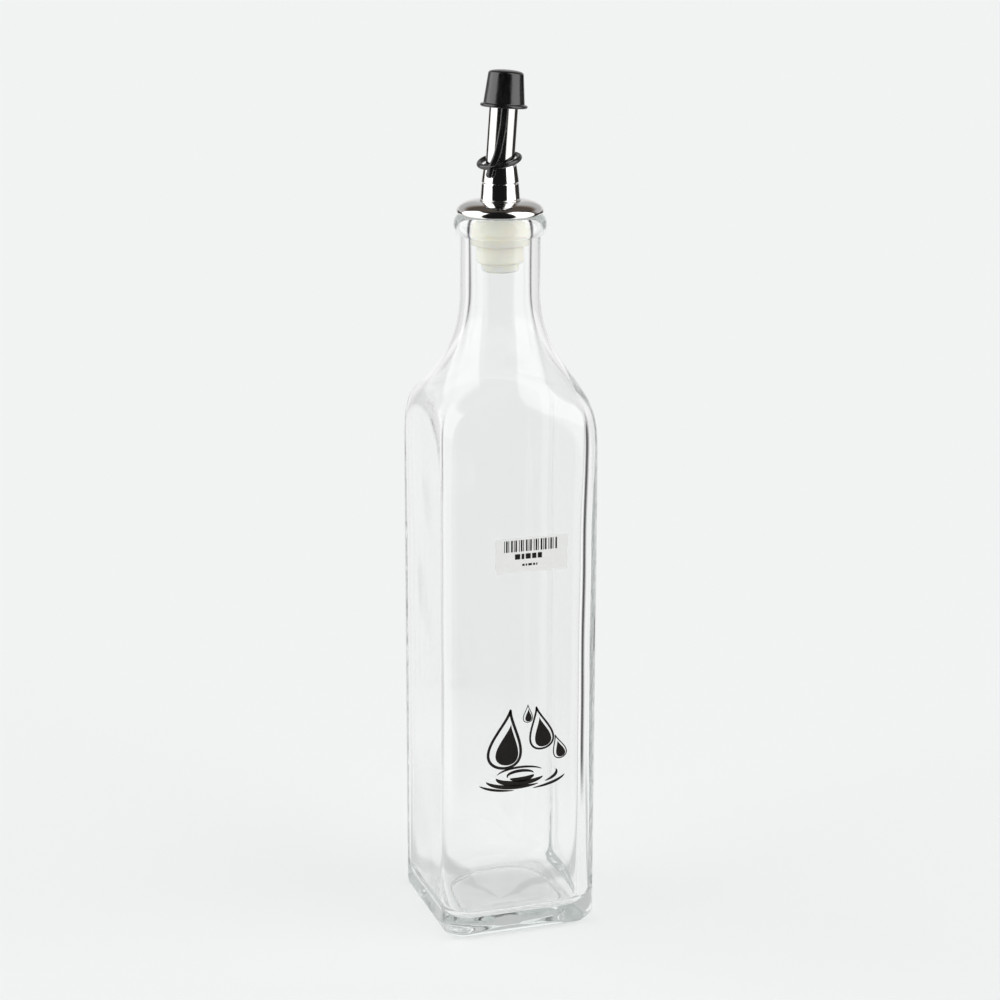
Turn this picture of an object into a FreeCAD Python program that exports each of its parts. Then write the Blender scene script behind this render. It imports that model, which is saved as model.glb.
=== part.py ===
"""Square glass oil bottle with a steel pourer and a rubber cap on a strap.

The bottle stands on the XY plane with its axis on Z and its printed face
towards -Y.  Every driving size is a cell of the sheet "Sizes", in millimetres
or degrees, and the features of each piece are bound to those cells.
"""

import FreeCAD, Part
import math
import os
import re

import Sketcher
from FreeCAD import Placement, Rotation, Vector

os.makedirs("parts", exist_ok=True)

SIZES = (
    # bottle, outside
    ("body_width", 60.0, "square body across its flat faces"),
    ("glass_height", 268.0, "base to the top of the glass lip"),
    ("corner_radius", 8.8, "upright corners of the body"),
    ("heel_radius", 5.0, "rounding between the sides and the base"),
    ("bell_margin", 1.0, "how far outside the corners the shoulder sweep starts"),
    ("shoulder_drop", 90.7, "from the mouth down to where the shoulder starts to curve in"),
    ("shoulder_radius", 44.3, "convex arc of the shoulder"),
    ("neck_sweep_radius", 47.2, "hollow arc between shoulder and neck"),
    ("neck_radius", 14.5, "outside of the neck"),
    ("panel_blend", 8.0, "rounding between the flat panels and the shoulder"),
    ("lip_bulge", 2.1, "how far the lip bead stands out from the neck"),
    ("lip_depth", 8.8, "height of the lip bead"),
    # bottle, inside
    ("wall", 3.5, "glass of the sides and the shoulder"),
    ("neck_wall", 3.8, "glass of the neck"),
    ("floor_glass", 6.5, "glass of the base at the foot of the walls"),
    ("inner_corner_radius", 8.0, "upright corners of the hollow"),
    ("inner_heel_radius", 6.0, "rounding between the hollow's sides and floor"),
    ("inner_blend", 7.0, "rounding between the hollow's panels and shoulder"),
    ("floor_rise", 2.0, "how far the floor is domed in its middle"),
    ("recess_margin", 8.5, "from the sides of the body to the recess under its base"),
    ("recess_corner", 14.0, "corners of that recess"),
    ("recess_depth", 1.6, "depth of that recess"),
    # stopper
    ("stopper_clearance", 0.10, "between the stopper and the bore"),
    ("seal_depth", 10.7, "foot of the stopper's widest part, below the mouth"),
    ("plug_depth", 17.4, "foot of its middle part, below the mouth"),
    ("stopper_depth", 20.6, "foot of its tip, below the mouth"),
    ("plug_step", 2.1, "middle part inside the widest part"),
    ("tip_wall", 1.6, "plastic of the tip round the tube"),
    ("tip_round", 1.2, "rounding of the tip"),
    ("head_thickness", 1.0, "rim of the stopper that lies on the lip"),
    ("head_clearance", 0.5, "between the stopper and the flange over it"),
    # steel flange
    ("flange_overhang", 1.35, "flange beyond the neck"),
    ("flange_height", 4.5, "top of the domed flange above the mouth"),
    ("flange_edge", 0.8, "straight edge at its rim"),
    ("flange_steel", 0.9, "thickness of the flange"),
    ("flange_hem", 1.6, "width of its folded rim on the lip"),
    # collar and sleeve
    ("collar_foot_wall", 2.0, "steel of the collar at the flange"),
    ("collar_top_wall", 1.5, "steel of the collar at the sleeve"),
    ("collar_length", 6.6, "collar along the axis"),
    ("sleeve_top_wall", 0.6, "steel of the sleeve where the tube leaves it"),
    ("sleeve_length", 6.6, "sleeve along the axis"),
    # spout tube
    ("tube_radius", 5.2, "outside of the spout tube"),
    ("tube_wall", 0.6, "steel of the spout tube"),
    ("tube_fit", 0.05, "between the tube and what it passes through"),
    ("tube_lean", 5.3, "lean of the spout"),
    ("lean_heading", 26.0, "heading of the lean, from +X towards +Y"),
    ("bend_rise", 1.4, "start of the bend above the sleeve"),
    ("bend_radius", 18.0, "bend of the spout tube, on its axis"),
    ("spout_length", 26.7, "straight part above the bend"),
    # rubber cap
    ("cap_fit", 0.10, "between the cap and the tube"),
    ("cap_cover", 9.8, "how far the cap reaches down over the tube"),
    ("cap_length", 12.1, "cap from its rim to its top edge"),
    ("cap_foot_wall", 2.1, "rubber of the cap above its rim"),
    ("cap_top_wall", 0.9, "rubber beside the bore at the height of the top edge"),
    ("cap_crown", 1.5, "dome on top of the cap"),
    ("cap_edge_round", 0.7, "rounding of its top edge"),
    ("rim_overhang", 1.1, "rim beyond the cap's foot"),
    ("rim_thickness", 0.95, "rim of the cap"),
    # ring and strap of the cap
    ("ring_play", 1.15, "between the ring and the tube"),
    ("ring_section", 0.95, "radius of the ring's section"),
    ("ring_tilt", 13.3, "tilt of the ring"),
    ("ring_heading", 23.6, "heading of its high side, from +X towards +Y"),
    ("ring_rise", 1.2, "middle of the ring above the sleeve"),
    ("ring_slack", 0.5, "how far the ring hangs off the axis"),
    ("strap_radius", 1.2, "radius of the strap's section"),
    # shelf sticker
    ("sticker_width", 27.4, "sticker along X"),
    ("sticker_height", 13.0, "sticker along Z"),
    ("sticker_thickness", 0.15, "thickness of the sticker"),
    ("sticker_offset", 2.2, "middle of the sticker beside the middle of the face"),
    ("sticker_drop", 119.2, "middle of the sticker below the mouth"),
)

# The strap hangs from the cap's rim to just below the ring.  Each point of its
# route has its share of the way down from the rim to the ring's middle, its
# heading round the spout in degrees, and the gap it keeps from the tube.
STRAP_ROUTE = (
    (0.00, 255.0, 0.40),
    (0.37, 252.3, 0.55),
    (0.83, 242.0, 0.66),
    (1.08, 228.0, 1.20),
    (1.19, 224.0, 1.55),
)
RUN_SHARE = 0.45

START, END, CENTRE = 1, 2, 3
X_LINE, Y_LINE = -1, -2
TOUCH = 1e-3

doc = FreeCAD.newDocument("OilBottle")
sheet = doc.addObject("Spreadsheet::Sheet", "Sizes")
for row, (alias, value, note) in enumerate(SIZES, start=1):
    sheet.set(f"A{row}", alias)
    sheet.set(f"B{row}", str(value))
    sheet.set(f"C{row}", note)
    sheet.setAlias(f"B{row}", alias)
doc.recompute()
ALIASES = {alias for alias, _, _ in SIZES}

# Places and sizes that several pieces share, as expressions on the sheet.
HALF_WIDTH = "(body_width / 2)"
CORNER_REACH = "((body_width / 2 - corner_radius) * sqrt(2) + corner_radius)"
SHOULDER = "(glass_height - shoulder_drop)"
BORE = "(neck_radius - neck_wall)"
HOLE = "(tube_radius + tube_fit)"
TUBE_FOOT = "(glass_height - stopper_depth)"
FLANGE_TOP = "(glass_height + flange_height)"
FLANGE_RADIUS = "(neck_radius + flange_overhang)"
COLLAR_TOP = f"({FLANGE_TOP} + collar_length)"
SLEEVE_TOP = f"({COLLAR_TOP} + sleeve_length)"
BEND_START = f"({SLEEVE_TOP} + bend_rise)"
LEAN = "(tube_lean * 1deg)"
HEADING = "(lean_heading * 1deg)"
TIP_REACH = f"(bend_radius * (1 - cos({LEAN})) + spout_length * sin({LEAN}))"
TIP_RISE = f"({BEND_START} + bend_radius * sin({LEAN}) + spout_length * cos({LEAN}))"
RING_RADIUS = "(tube_radius + ring_play + ring_section)"
RING_RISE = f"({SLEEVE_TOP} + ring_rise)"


def bound(text):
    """An expression on the aliases, as a feature outside the sheet writes it."""
    return re.sub(r"\b[a-z_]+\b", lambda m: f"Sizes.{m[0]}" if m[0] in ALIASES else m[0], text)


def size(text):
    """The value of an expression on the aliases."""
    return float(sheet.evalExpression(bound(text)))


def tie(feature, path, text):
    """Bind one property of a feature to the sheet."""
    feature.setExpression(path, bound(text))


def dome(reach, rise):
    """Radius of the arc that rises this much over this reach, level at its top."""
    return f"(({reach} * {reach} + {rise} * {rise}) / (2 * {rise}))"


# --- sketches and features -------------------------------------------------


def new_body(name):
    """A PartDesign body."""
    return doc.addObject("PartDesign::Body", name)


def new_sketch(body, name, role, lift=None):
    """A sketch on one of the body's origin planes, lifted along its normal."""
    plane = next(f for f in body.Origin.OriginFeatures if f.Role == role)
    sketch = body.newObject("Sketcher::SketchObject", name)
    sketch.AttachmentSupport = (plane, [""])
    sketch.MapMode = "FlatFace"
    if lift:
        tie(sketch, "AttachmentOffset.Base.z", lift)
    return sketch


def join(sketch, *constraints):
    """Add constraints that carry no size."""
    for constraint in constraints:
        sketch.addConstraint(Sketcher.Constraint(*constraint))


def tie_constraint(sketch, text, kind, *place, factor=1.0):
    """Add one constraint whose size is bound to the sheet."""
    number = sketch.addConstraint(Sketcher.Constraint(kind, *place, size(text) * factor))
    tie(sketch, f"Constraints[{number}]", text)


def pin(sketch, index, point, across=None, up=None):
    """Tie the place of one point; an empty text puts it on the axis."""
    for kind, text, axis in (("DistanceX", across, Y_LINE), ("DistanceY", up, X_LINE)):
        if text:
            tie_constraint(sketch, text, kind, index, point)
        elif text == "":
            join(sketch, ("PointOnObject", index, point, axis))


def arc_between(start, end, radius, hollow):
    """The short arc between two points, bulging to the right of the way, or left if hollow."""
    chord = end - start
    left = Vector(-chord.y, chord.x, 0).normalize()
    depth = math.sqrt(max(radius * radius - chord.Length * chord.Length / 4, 0))
    centre = (start + end) * 0.5 + left * (-depth if hollow else depth)
    angles = [math.atan2(spot.y - centre.y, spot.x - centre.x) for spot in (start, end)]
    if hollow:
        angles.reverse()
    return Part.ArcOfCircle(Part.Circle(centre, Vector(0, 0, 1), radius), *angles)


def outline(sketch, corners):
    """A closed outline, counter-clockwise, whose corners are tied to the sheet.

    A corner is (across, up), with a radius as a third item where the edge
    that starts there is an arc, and True as a fourth where it is hollow.
    """
    spots = [Vector(size(c[0]) if c[0] else 0, size(c[1]), 0) for c in corners]
    tails = []
    heads = []
    for index, corner in enumerate(corners):
        start = spots[index]
        end = spots[(index + 1) % len(spots)]
        hollow = len(corner) == 4
        if len(corner) == 2:
            sketch.addGeometry(Part.LineSegment(start, end))
        else:
            sketch.addGeometry(arc_between(start, end, size(corner[2]), hollow))
        tails.append(END if hollow else START)
        heads.append(START if hollow else END)
    for index, corner in enumerate(corners):
        before = (index - 1) % len(corners)
        join(sketch, ("Coincident", before, heads[before], index, tails[index]))
        pin(sketch, index, tails[index], corner[0], corner[1])
        if len(corner) > 2:
            tie_constraint(sketch, corner[2], "Radius", index)


def revolve(body, sketch, name="Turned"):
    """The solid of revolution of a sketch about its upright axis."""
    feature = body.newObject("PartDesign::Revolution", name)
    feature.Profile = sketch
    feature.ReferenceAxis = (sketch, ["V_Axis"])
    feature.Angle = 360.0
    return feature


def round_edges(body, name, base, radius, wanted):
    """Fillet the edges of a feature that pass a test."""
    doc.recompute()
    names = [f"Edge{i}" for i, edge in enumerate(base.Shape.Edges, start=1) if wanted(edge)]
    feature = body.newObject("PartDesign::Fillet", name)
    feature.Base = (base, names)
    tie(feature, "Radius", radius)
    return feature


def is_upright(edge):
    """Whether an edge is a straight line along Z."""
    box = edge.BoundBox
    return box.XLength + box.YLength < TOUCH < box.ZLength


def is_level(edge, height):
    """Whether an edge lies in the level plane at a height."""
    box = edge.BoundBox
    return abs(box.ZMin - height) < TOUCH and abs(box.ZMax - height) < TOUCH


def is_ring(edge, radius, height):
    """Whether an edge is the level circle of this radius at this height."""
    return is_level(edge, height) and abs(edge.BoundBox.XMax - radius) < TOUCH


def is_panel_edge(edge):
    """Whether an edge is where a side of the column meets the bell."""
    return edge.BoundBox.ZLength > TOUCH and not is_upright(edge) and edge.Length < size("body_width")


# --- bottle ----------------------------------------------------------------


def square_column(body, half, corner, foot, top):
    """A square column with rounded upright corners, from foot to top."""
    sketch = new_sketch(body, "Square", "XY_Plane", foot)
    outline(sketch, [(f"-{half}", f"-{half}"), (half, f"-{half}"), (half, half), (f"-{half}", half)])
    pad = body.newObject("PartDesign::Pad", "Column")
    pad.Profile = sketch
    tie(pad, "Length", f"{top} - ({foot})")
    return round_edges(body, "Corners", pad, corner, is_upright)


def bell(name, base, foot, arc, sweep, neck, top):
    """A body turned to the line of the shoulder and the neck.

    The outline goes straight up at the base radius, turns in on the convex
    arc, and runs on the hollow sweep into the straight neck.
    """
    body = new_body(name)
    sketch = new_sketch(body, "Outline", "XZ_Plane")
    base_r, arc_r, sweep_r, neck_r = (size(text) for text in (base, arc, sweep, neck))
    level = size(SHOULDER)
    turn = math.acos((neck_r + sweep_r - base_r + arc_r) / (arc_r + sweep_r))
    throat = level + math.sin(turn) * (arc_r + sweep_r)
    low = size(foot)
    high = size(top)
    up = Vector(0, 0, 1)
    convex = Part.Circle(Vector(base_r - arc_r, level, 0), up, arc_r)
    hollow = Part.Circle(Vector(neck_r + sweep_r, throat, 0), up, sweep_r)
    for edge in (
        Part.LineSegment(Vector(0, low, 0), Vector(base_r, low, 0)),
        Part.LineSegment(Vector(base_r, low, 0), Vector(base_r, level, 0)),
        Part.ArcOfCircle(convex, 0, turn),
        Part.ArcOfCircle(hollow, math.pi, math.pi + turn),
        Part.LineSegment(Vector(neck_r, throat, 0), Vector(neck_r, high, 0)),
        Part.LineSegment(Vector(neck_r, high, 0), Vector(0, high, 0)),
        Part.LineSegment(Vector(0, high, 0), Vector(0, low, 0)),
    ):
        sketch.addGeometry(edge)
    join(
        sketch,
        ("Coincident", 0, END, 1, START),
        ("Tangent", 1, END, 2, START),
        ("Tangent", 2, END, 3, END),
        ("Tangent", 3, START, 4, START),
        ("Coincident", 4, END, 5, START),
        ("Coincident", 5, END, 6, START),
        ("Coincident", 6, END, 0, START),
        ("Horizontal", 0),
        ("Horizontal", 5),
        ("Vertical", 1),
        ("Vertical", 4),
        ("PointOnObject", 6, START, Y_LINE),
        ("PointOnObject", 6, END, Y_LINE),
    )
    pin(sketch, 1, START, base, foot)
    pin(sketch, 1, END, None, SHOULDER)
    pin(sketch, 4, END, neck, top)
    tie_constraint(sketch, arc, "Radius", 2)
    tie_constraint(sketch, sweep, "Radius", 3)
    revolve(body, sketch)
    return body


def trim_to_bell(body, tool, blend):
    """Keep what a column has inside the bell, and round the edges between them."""
    doc.recompute()
    shoulder = body.newObject("PartDesign::Boolean", "Shoulder")
    shoulder.setObjects([tool])
    shoulder.Type = "Common"
    return round_edges(body, "PanelBlend", shoulder, blend, is_panel_edge)


def glass_outside():
    """The outside of the bottle, with its lip."""
    body = new_body("GlassOutside")
    column = square_column(body, HALF_WIDTH, "corner_radius", "0", "(glass_height + lip_depth)")
    round_edges(body, "Heel", column, "heel_radius", lambda edge: is_level(edge, 0))
    tool = bell(
        "OutsideBell",
        base=f"{CORNER_REACH} + bell_margin",
        foot="-heel_radius",
        arc="shoulder_radius",
        sweep="neck_sweep_radius",
        neck="neck_radius",
        top="glass_height",
    )
    trim_to_bell(body, tool, "panel_blend")
    lip = new_sketch(body, "LipSection", "XZ_Plane")
    core = "neck_radius - neck_wall / 2"
    foot = "glass_height - lip_depth"
    outline(lip, [
        (core, foot),
        ("neck_radius", foot, dome("(lip_depth / 2)", "lip_bulge")),
        ("neck_radius", "glass_height"),
        (core, "glass_height"),
    ])
    revolve(body, lip, "Lip")
    return body


def glass_inside():
    """The hollow of the bottle, up through the mouth."""
    body = new_body("GlassInside")
    over = "(glass_height + lip_depth)"
    half = "(body_width / 2 - wall)"
    column = square_column(body, half, "inner_corner_radius", "floor_glass", over)
    round_edges(
        body, "Heel", column, "inner_heel_radius",
        lambda edge: is_level(edge, size("floor_glass")),
    )
    tool = bell(
        "InsideBell",
        base=f"{CORNER_REACH} + bell_margin - wall",
        foot="floor_glass / 2",
        arc="shoulder_radius - wall",
        sweep="neck_sweep_radius + neck_wall",
        neck=BORE,
        top=over,
    )
    trim_to_bell(body, tool, "inner_blend")
    return body


def bottle_glass():
    """The bottle: its outside, less its hollow and the recess under its base."""
    outside = glass_outside()
    inside = glass_inside()
    recess_half = "(body_width / 2 - recess_margin)"
    floor_dome = doc.addObject("Part::Sphere", "FloorDome")
    dome_radius = dome(recess_half, "floor_rise")
    tie(floor_dome, "Radius", dome_radius)
    tie(floor_dome, "Placement.Base.z", f"floor_glass + floor_rise - {dome_radius}")
    recess = new_body("Recess")
    column = square_column(recess, recess_half, "recess_corner", "-recess_depth", "recess_depth")
    round_edges(
        recess, "RecessRound", column, "recess_depth * 0.9",
        lambda edge: is_level(edge, size("recess_depth")),
    )
    hollow = cut("Hollow", inside, floor_dome)
    bottle = cut("Bottle", cut("Shell", outside, hollow), recess)
    bottle.Label = "bottle_glass"
    return bottle


def cut(name, base, tool):
    """One shape less another."""
    feature = doc.addObject("Part::Cut", name)
    feature.Base = base
    feature.Tool = tool
    return feature


# --- pourer ----------------------------------------------------------------


def turned_piece(label, corners):
    """A piece turned about the axis from the outline of its section."""
    body = new_body(label.title().replace("_", ""))
    sketch = new_sketch(body, "Section", "XZ_Plane")
    outline(sketch, corners)
    revolve(body, sketch)
    body.Label = label
    return body


def pour_stopper():
    """The stepped plastic stopper, with a rim on the lip and a hole for the tube."""
    seal = f"{BORE} - stopper_clearance"
    head = f"{FLANGE_RADIUS} - flange_hem - head_clearance"
    under = f"{FLANGE_TOP} - flange_steel - head_clearance"
    body = turned_piece("pour_stopper", [
        (HOLE, TUBE_FOOT),
        (f"{HOLE} + tip_wall", TUBE_FOOT),
        (f"{HOLE} + tip_wall", "glass_height - plug_depth"),
        (f"{seal} - plug_step", "glass_height - plug_depth"),
        (f"{seal} - plug_step", "glass_height - seal_depth"),
        (seal, "glass_height - seal_depth"),
        (seal, "glass_height"),
        (head, "glass_height"),
        (head, "glass_height + head_thickness"),
        (seal, "glass_height + head_thickness"),
        (f"{HOLE} + tip_wall", under),
        (HOLE, under),
    ])
    tip_radius = size(f"{HOLE} + tip_wall")
    tip_height = size(TUBE_FOOT)
    round_edges(
        body, "TipRound", body.Tip, "tip_round",
        lambda edge: is_ring(edge, tip_radius, tip_height),
    )
    return body


def dome_flange():
    """The domed steel flange that sits on the lip and holds the collar."""
    foot = f"({HOLE} + collar_foot_wall)"
    reach = f"({FLANGE_RADIUS} - {foot})"
    drop = "(flange_height - flange_edge)"
    inner_reach = f"({reach} - flange_hem)"
    inner_drop = f"({drop} - flange_steel)"
    return turned_piece("dome_flange", [
        (f"{FLANGE_RADIUS} - flange_hem", "glass_height"),
        (FLANGE_RADIUS, "glass_height"),
        (FLANGE_RADIUS, "glass_height + flange_edge", dome(reach, drop)),
        (foot, FLANGE_TOP),
        (HOLE, FLANGE_TOP),
        (HOLE, f"{FLANGE_TOP} - flange_steel"),
        (foot, f"{FLANGE_TOP} - flange_steel", dome(inner_reach, inner_drop), True),
        (f"{FLANGE_RADIUS} - flange_hem", "glass_height + flange_edge"),
    ])


def spout_collar():
    """The tapered steel collar on the flange."""
    return turned_piece("spout_collar", [
        (HOLE, FLANGE_TOP),
        (f"{HOLE} + collar_foot_wall", FLANGE_TOP),
        (f"{HOLE} + collar_top_wall", COLLAR_TOP),
        (HOLE, COLLAR_TOP),
    ])


def spout_sleeve():
    """The tapered steel sleeve between the collar and the bare tube."""
    return turned_piece("spout_sleeve", [
        (HOLE, COLLAR_TOP),
        (f"{HOLE} + collar_top_wall", COLLAR_TOP),
        (f"{HOLE} + sleeve_top_wall", SLEEVE_TOP),
        (HOLE, SLEEVE_TOP),
    ])


def spout_tube():
    """The steel tube from the stopper's tip, up through the sleeve and over to the cap."""
    body = new_body("SpoutTube")
    path = new_sketch(body, "TubePath", "XZ_Plane")
    radius = size("bend_radius")
    lean = math.radians(size("tube_lean"))
    bend = Vector(0, size(BEND_START), 0)
    centre = bend + Vector(radius, 0, 0)
    out = centre + Vector(-math.cos(lean), math.sin(lean), 0) * radius
    tip = out + Vector(math.sin(lean), math.cos(lean), 0) * size("spout_length")
    turn = Part.Circle(centre, Vector(0, 0, 1), radius)
    path.addGeometry(Part.LineSegment(Vector(0, size(TUBE_FOOT), 0), bend))
    path.addGeometry(Part.ArcOfCircle(turn, math.pi - lean, math.pi))
    path.addGeometry(Part.LineSegment(out, tip))
    join(path, ("Tangent", 0, END, 1, END), ("Tangent", 1, START, 2, START))
    pin(path, 0, START, "", TUBE_FOOT)
    pin(path, 0, END, "", BEND_START)
    tie_constraint(path, "bend_radius", "Radius", 1)
    tie_constraint(path, "spout_length", "Distance", 2)
    tie_constraint(path, "(90 - tube_lean) * 1deg", "Angle", 2, factor=math.pi / 180)
    ring = new_sketch(body, "TubeSection", "XY_Plane", TUBE_FOOT)
    for text in ("tube_radius", "tube_radius - tube_wall"):
        circle = ring.addGeometry(Part.Circle(Vector(0, 0, 0), Vector(0, 0, 1), size(text)))
        join(ring, ("Coincident", circle, CENTRE, X_LINE, START))
        tie_constraint(ring, text, "Radius", circle)
    pipe = body.newObject("PartDesign::AdditivePipe", "Tube")
    pipe.Profile = ring
    pipe.Spine = (path, ["Edge1", "Edge2", "Edge3"])
    tie(body, "Placement.Rotation.Angle", HEADING)
    body.Label = "spout_tube"
    return body


# --- cap, ring and strap: one moulding ---------------------------------------


def tilt(feature, angle, heading):
    """Tilt a feature so that its axis leans towards a heading."""
    feature.Placement = Placement(Vector(0, 0, 0), Rotation(Vector(0, 1, 0), 1))
    tie(feature, "Placement.Rotation.Axis.x", f"-sin({heading})")
    tie(feature, "Placement.Rotation.Axis.y", f"cos({heading})")
    tie(feature, "Placement.Rotation.Angle", angle)


def cap_shell():
    """The cap on the end of the tube, drawn from the tube's tip."""
    bore = "(tube_radius + cap_fit)"
    top = "(cap_length - cap_cover)"
    top_radius = f"({bore} + cap_top_wall)"
    body = turned_piece("cap_shell", [
        (bore, "-cap_cover"),
        (f"{bore} + cap_foot_wall + rim_overhang", "-cap_cover"),
        (f"{bore} + cap_foot_wall + rim_overhang", "rim_thickness - cap_cover"),
        (f"{bore} + cap_foot_wall", "rim_thickness - cap_cover"),
        (top_radius, top, dome(top_radius, "cap_crown")),
        ("", f"{top} + cap_crown"),
        ("", "cap_fit"),
        (bore, "cap_fit"),
    ])
    edge_radius = size(top_radius)
    edge_height = size(top)
    round_edges(
        body, "EdgeRound", body.Tip, "cap_edge_round",
        lambda edge: is_ring(edge, edge_radius, edge_height),
    )
    tilt(body, LEAN, HEADING)
    tie(body, "Placement.Base.x", f"{TIP_REACH} * cos({HEADING})")
    tie(body, "Placement.Base.y", f"{TIP_REACH} * sin({HEADING})")
    tie(body, "Placement.Base.z", TIP_RISE)
    return body


def cap_ring():
    """The ring that holds the strap to the tube."""
    ring = doc.addObject("Part::Torus", "CapRing")
    heading = "(ring_heading * 1deg)"
    tie(ring, "Radius1", RING_RADIUS)
    tie(ring, "Radius2", "ring_section")
    tilt(ring, "-ring_tilt * 1deg", heading)
    tie(ring, "Placement.Base.x", f"-ring_slack * cos({heading})")
    tie(ring, "Placement.Base.y", f"-ring_slack * sin({heading})")
    tie(ring, "Placement.Base.z", RING_RISE)
    return ring


def spout_axis(height):
    """The point of the spout's axis at a height."""
    lean = math.radians(size("tube_lean"))
    heading = math.radians(size("lean_heading"))
    radius = size("bend_radius")
    above = height - size(BEND_START) - radius * math.sin(lean)
    reach = radius * (1 - math.cos(lean)) + above * math.tan(lean) if above > 0 else 0
    return Vector(reach * math.cos(heading), reach * math.sin(heading), height)


def strap_points():
    """The points of the strap's route, from the cap's rim to below the ring."""
    lean = math.radians(size("tube_lean"))
    rim = size(TIP_RISE) - (size("cap_cover") - size("rim_thickness") / 2) * math.cos(lean)
    ring = size(RING_RISE)
    points = []
    for share, heading, gap in STRAP_ROUTE:
        angle = math.radians(heading)
        away = size("tube_radius + strap_radius") + gap
        side = Vector(math.cos(angle), math.sin(angle), 0)
        points.append(spout_axis(rim + (ring - rim) * share) + side * away)
    return points


def rounded_wire(points):
    """Straight runs between points, joined by tangent arcs as large as the runs allow."""
    edges = []
    here = points[0]
    for before, corner, after in zip(points, points[1:], points[2:]):
        back = before - corner
        ahead = after - corner
        turn = math.pi - back.getAngle(ahead)
        reach = RUN_SHARE * min(back.Length, ahead.Length)
        print(f"strap bend radius {reach / math.tan(turn / 2):.1f} mm")
        first = corner + back.normalize() * reach
        last = corner + ahead.normalize() * reach
        inward = (first + last) * 0.5 - corner
        radius = reach / math.tan(turn / 2)
        sagitta = math.hypot(radius, reach) - radius
        middle = corner + inward.normalize() * sagitta
        edges.append(Part.LineSegment(here, first).toShape())
        edges.append(Part.Arc(first, middle, last).toShape())
        here = last
    edges.append(Part.LineSegment(here, points[-1]).toShape())
    return Part.Wire(edges)


def cap_strap():
    """The round strap, with a ball at its lower end."""
    points = strap_points()
    radius = size("strap_radius")
    route = rounded_wire(points)
    section = Part.Wire(Part.Circle(points[0], points[1] - points[0], radius).toShape())
    strap = doc.addObject("Part::Feature", "Strap")
    strap.Shape = route.makePipeShell([section], True, False)
    ball = doc.addObject("Part::Sphere", "StrapEnd")
    tie(ball, "Radius", "strap_radius")
    ball.Placement = Placement(points[-1], Rotation())
    print(f"strap {route.Length:.1f} mm long, {strap.Shape.Volume:.1f} mm3, "
          f"section times length {math.pi * radius * radius * route.Length:.1f} mm3")
    return [strap, ball]


def pour_cap():
    """The rubber cap with its strap and ring."""
    moulding = doc.addObject("Part::MultiFuse", "PourCap")
    moulding.Shapes = [cap_shell(), cap_ring()] + cap_strap()
    moulding.Label = "pour_cap"
    return moulding


# --- sticker ---------------------------------------------------------------


def shelf_sticker():
    """The paper sticker on the front face."""
    sticker = doc.addObject("Part::Box", "ShelfSticker")
    tie(sticker, "Length", "sticker_width")
    tie(sticker, "Width", "sticker_thickness")
    tie(sticker, "Height", "sticker_height")
    tie(sticker, "Placement.Base.x", "sticker_offset - sticker_width / 2")
    tie(sticker, "Placement.Base.y", f"-{HALF_WIDTH} - sticker_thickness")
    tie(sticker, "Placement.Base.z", "glass_height - sticker_drop - sticker_height / 2")
    sticker.Label = "shelf_sticker"
    return sticker


def check(pieces):
    """Stop on a failed feature or on a piece that is not one valid solid."""
    failed = [o.Name for o in doc.Objects if {"Invalid", "Error"} & set(o.State)]
    if failed:
        raise RuntimeError(f"features failed: {failed}")
    for piece in pieces:
        shape = piece.Shape
        if shape.isNull() or not shape.isValid() or len(shape.Solids) != 1:
            raise RuntimeError(f"{piece.Label} is not one valid solid")


def main():
    """Build every piece, check them all, and write each to its own file."""
    makers = (
        bottle_glass, pour_stopper, dome_flange, spout_collar,
        spout_sleeve, spout_tube, pour_cap, shelf_sticker,
    )
    pieces = [make() for make in makers]
    doc.recompute()
    check(pieces)
    for piece in pieces:
        piece.Shape.exportStep(f"parts/{piece.Label}.step")
        print(f"{piece.Label}: {piece.Shape.Volume / 1000:.3f} cm3")


main()
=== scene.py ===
"""Looks of a square glass oil bottle with a steel pourer and a rubber cap on a strap.

Sizes are in millimetres and degrees, as in the frame's own source, and every
mesh is made in metres.  The bottle stands on the XY plane with its axis on Z
and its printed face towards -Y.
"""

import logging
import math
from dataclasses import dataclass
from enum import Enum
from typing import Callable, NamedTuple, Sequence

import bmesh
import bpy
from mathutils import Matrix, Quaternion, Vector
from mathutils.geometry import interpolate_bezier

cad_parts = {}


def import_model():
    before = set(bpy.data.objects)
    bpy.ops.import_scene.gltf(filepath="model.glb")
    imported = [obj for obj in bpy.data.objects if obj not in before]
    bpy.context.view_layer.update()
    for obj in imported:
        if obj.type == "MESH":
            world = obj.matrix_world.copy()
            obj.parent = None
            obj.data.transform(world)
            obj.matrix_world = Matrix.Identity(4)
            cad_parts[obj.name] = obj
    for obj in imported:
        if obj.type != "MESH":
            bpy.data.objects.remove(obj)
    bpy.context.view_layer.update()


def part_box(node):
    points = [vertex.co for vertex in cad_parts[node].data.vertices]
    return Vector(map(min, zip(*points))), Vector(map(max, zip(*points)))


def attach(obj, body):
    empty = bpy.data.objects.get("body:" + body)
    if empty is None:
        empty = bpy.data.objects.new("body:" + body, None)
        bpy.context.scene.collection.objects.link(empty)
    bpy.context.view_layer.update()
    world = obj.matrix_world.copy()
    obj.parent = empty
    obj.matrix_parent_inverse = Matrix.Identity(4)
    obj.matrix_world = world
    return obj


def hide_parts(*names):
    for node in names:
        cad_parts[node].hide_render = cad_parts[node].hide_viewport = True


MM = 0.001
FULL_TURN = 2 * math.pi
WELD = 1e-4  # points nearer than this, in millimetres, are merged
BODY = "root"

Colour = tuple[float, float, float]
Stretch = tuple[float, float, float]
Socket = bpy.types.NodeSocket
Input = float | Colour | bpy.types.NodeSocket
Material = bpy.types.Material
Place = Callable[[Vector], Vector]
Spot = tuple[float, float]
Line = Callable[[float], Spot]

log = logging.getLogger("oil_bottle")


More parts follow.
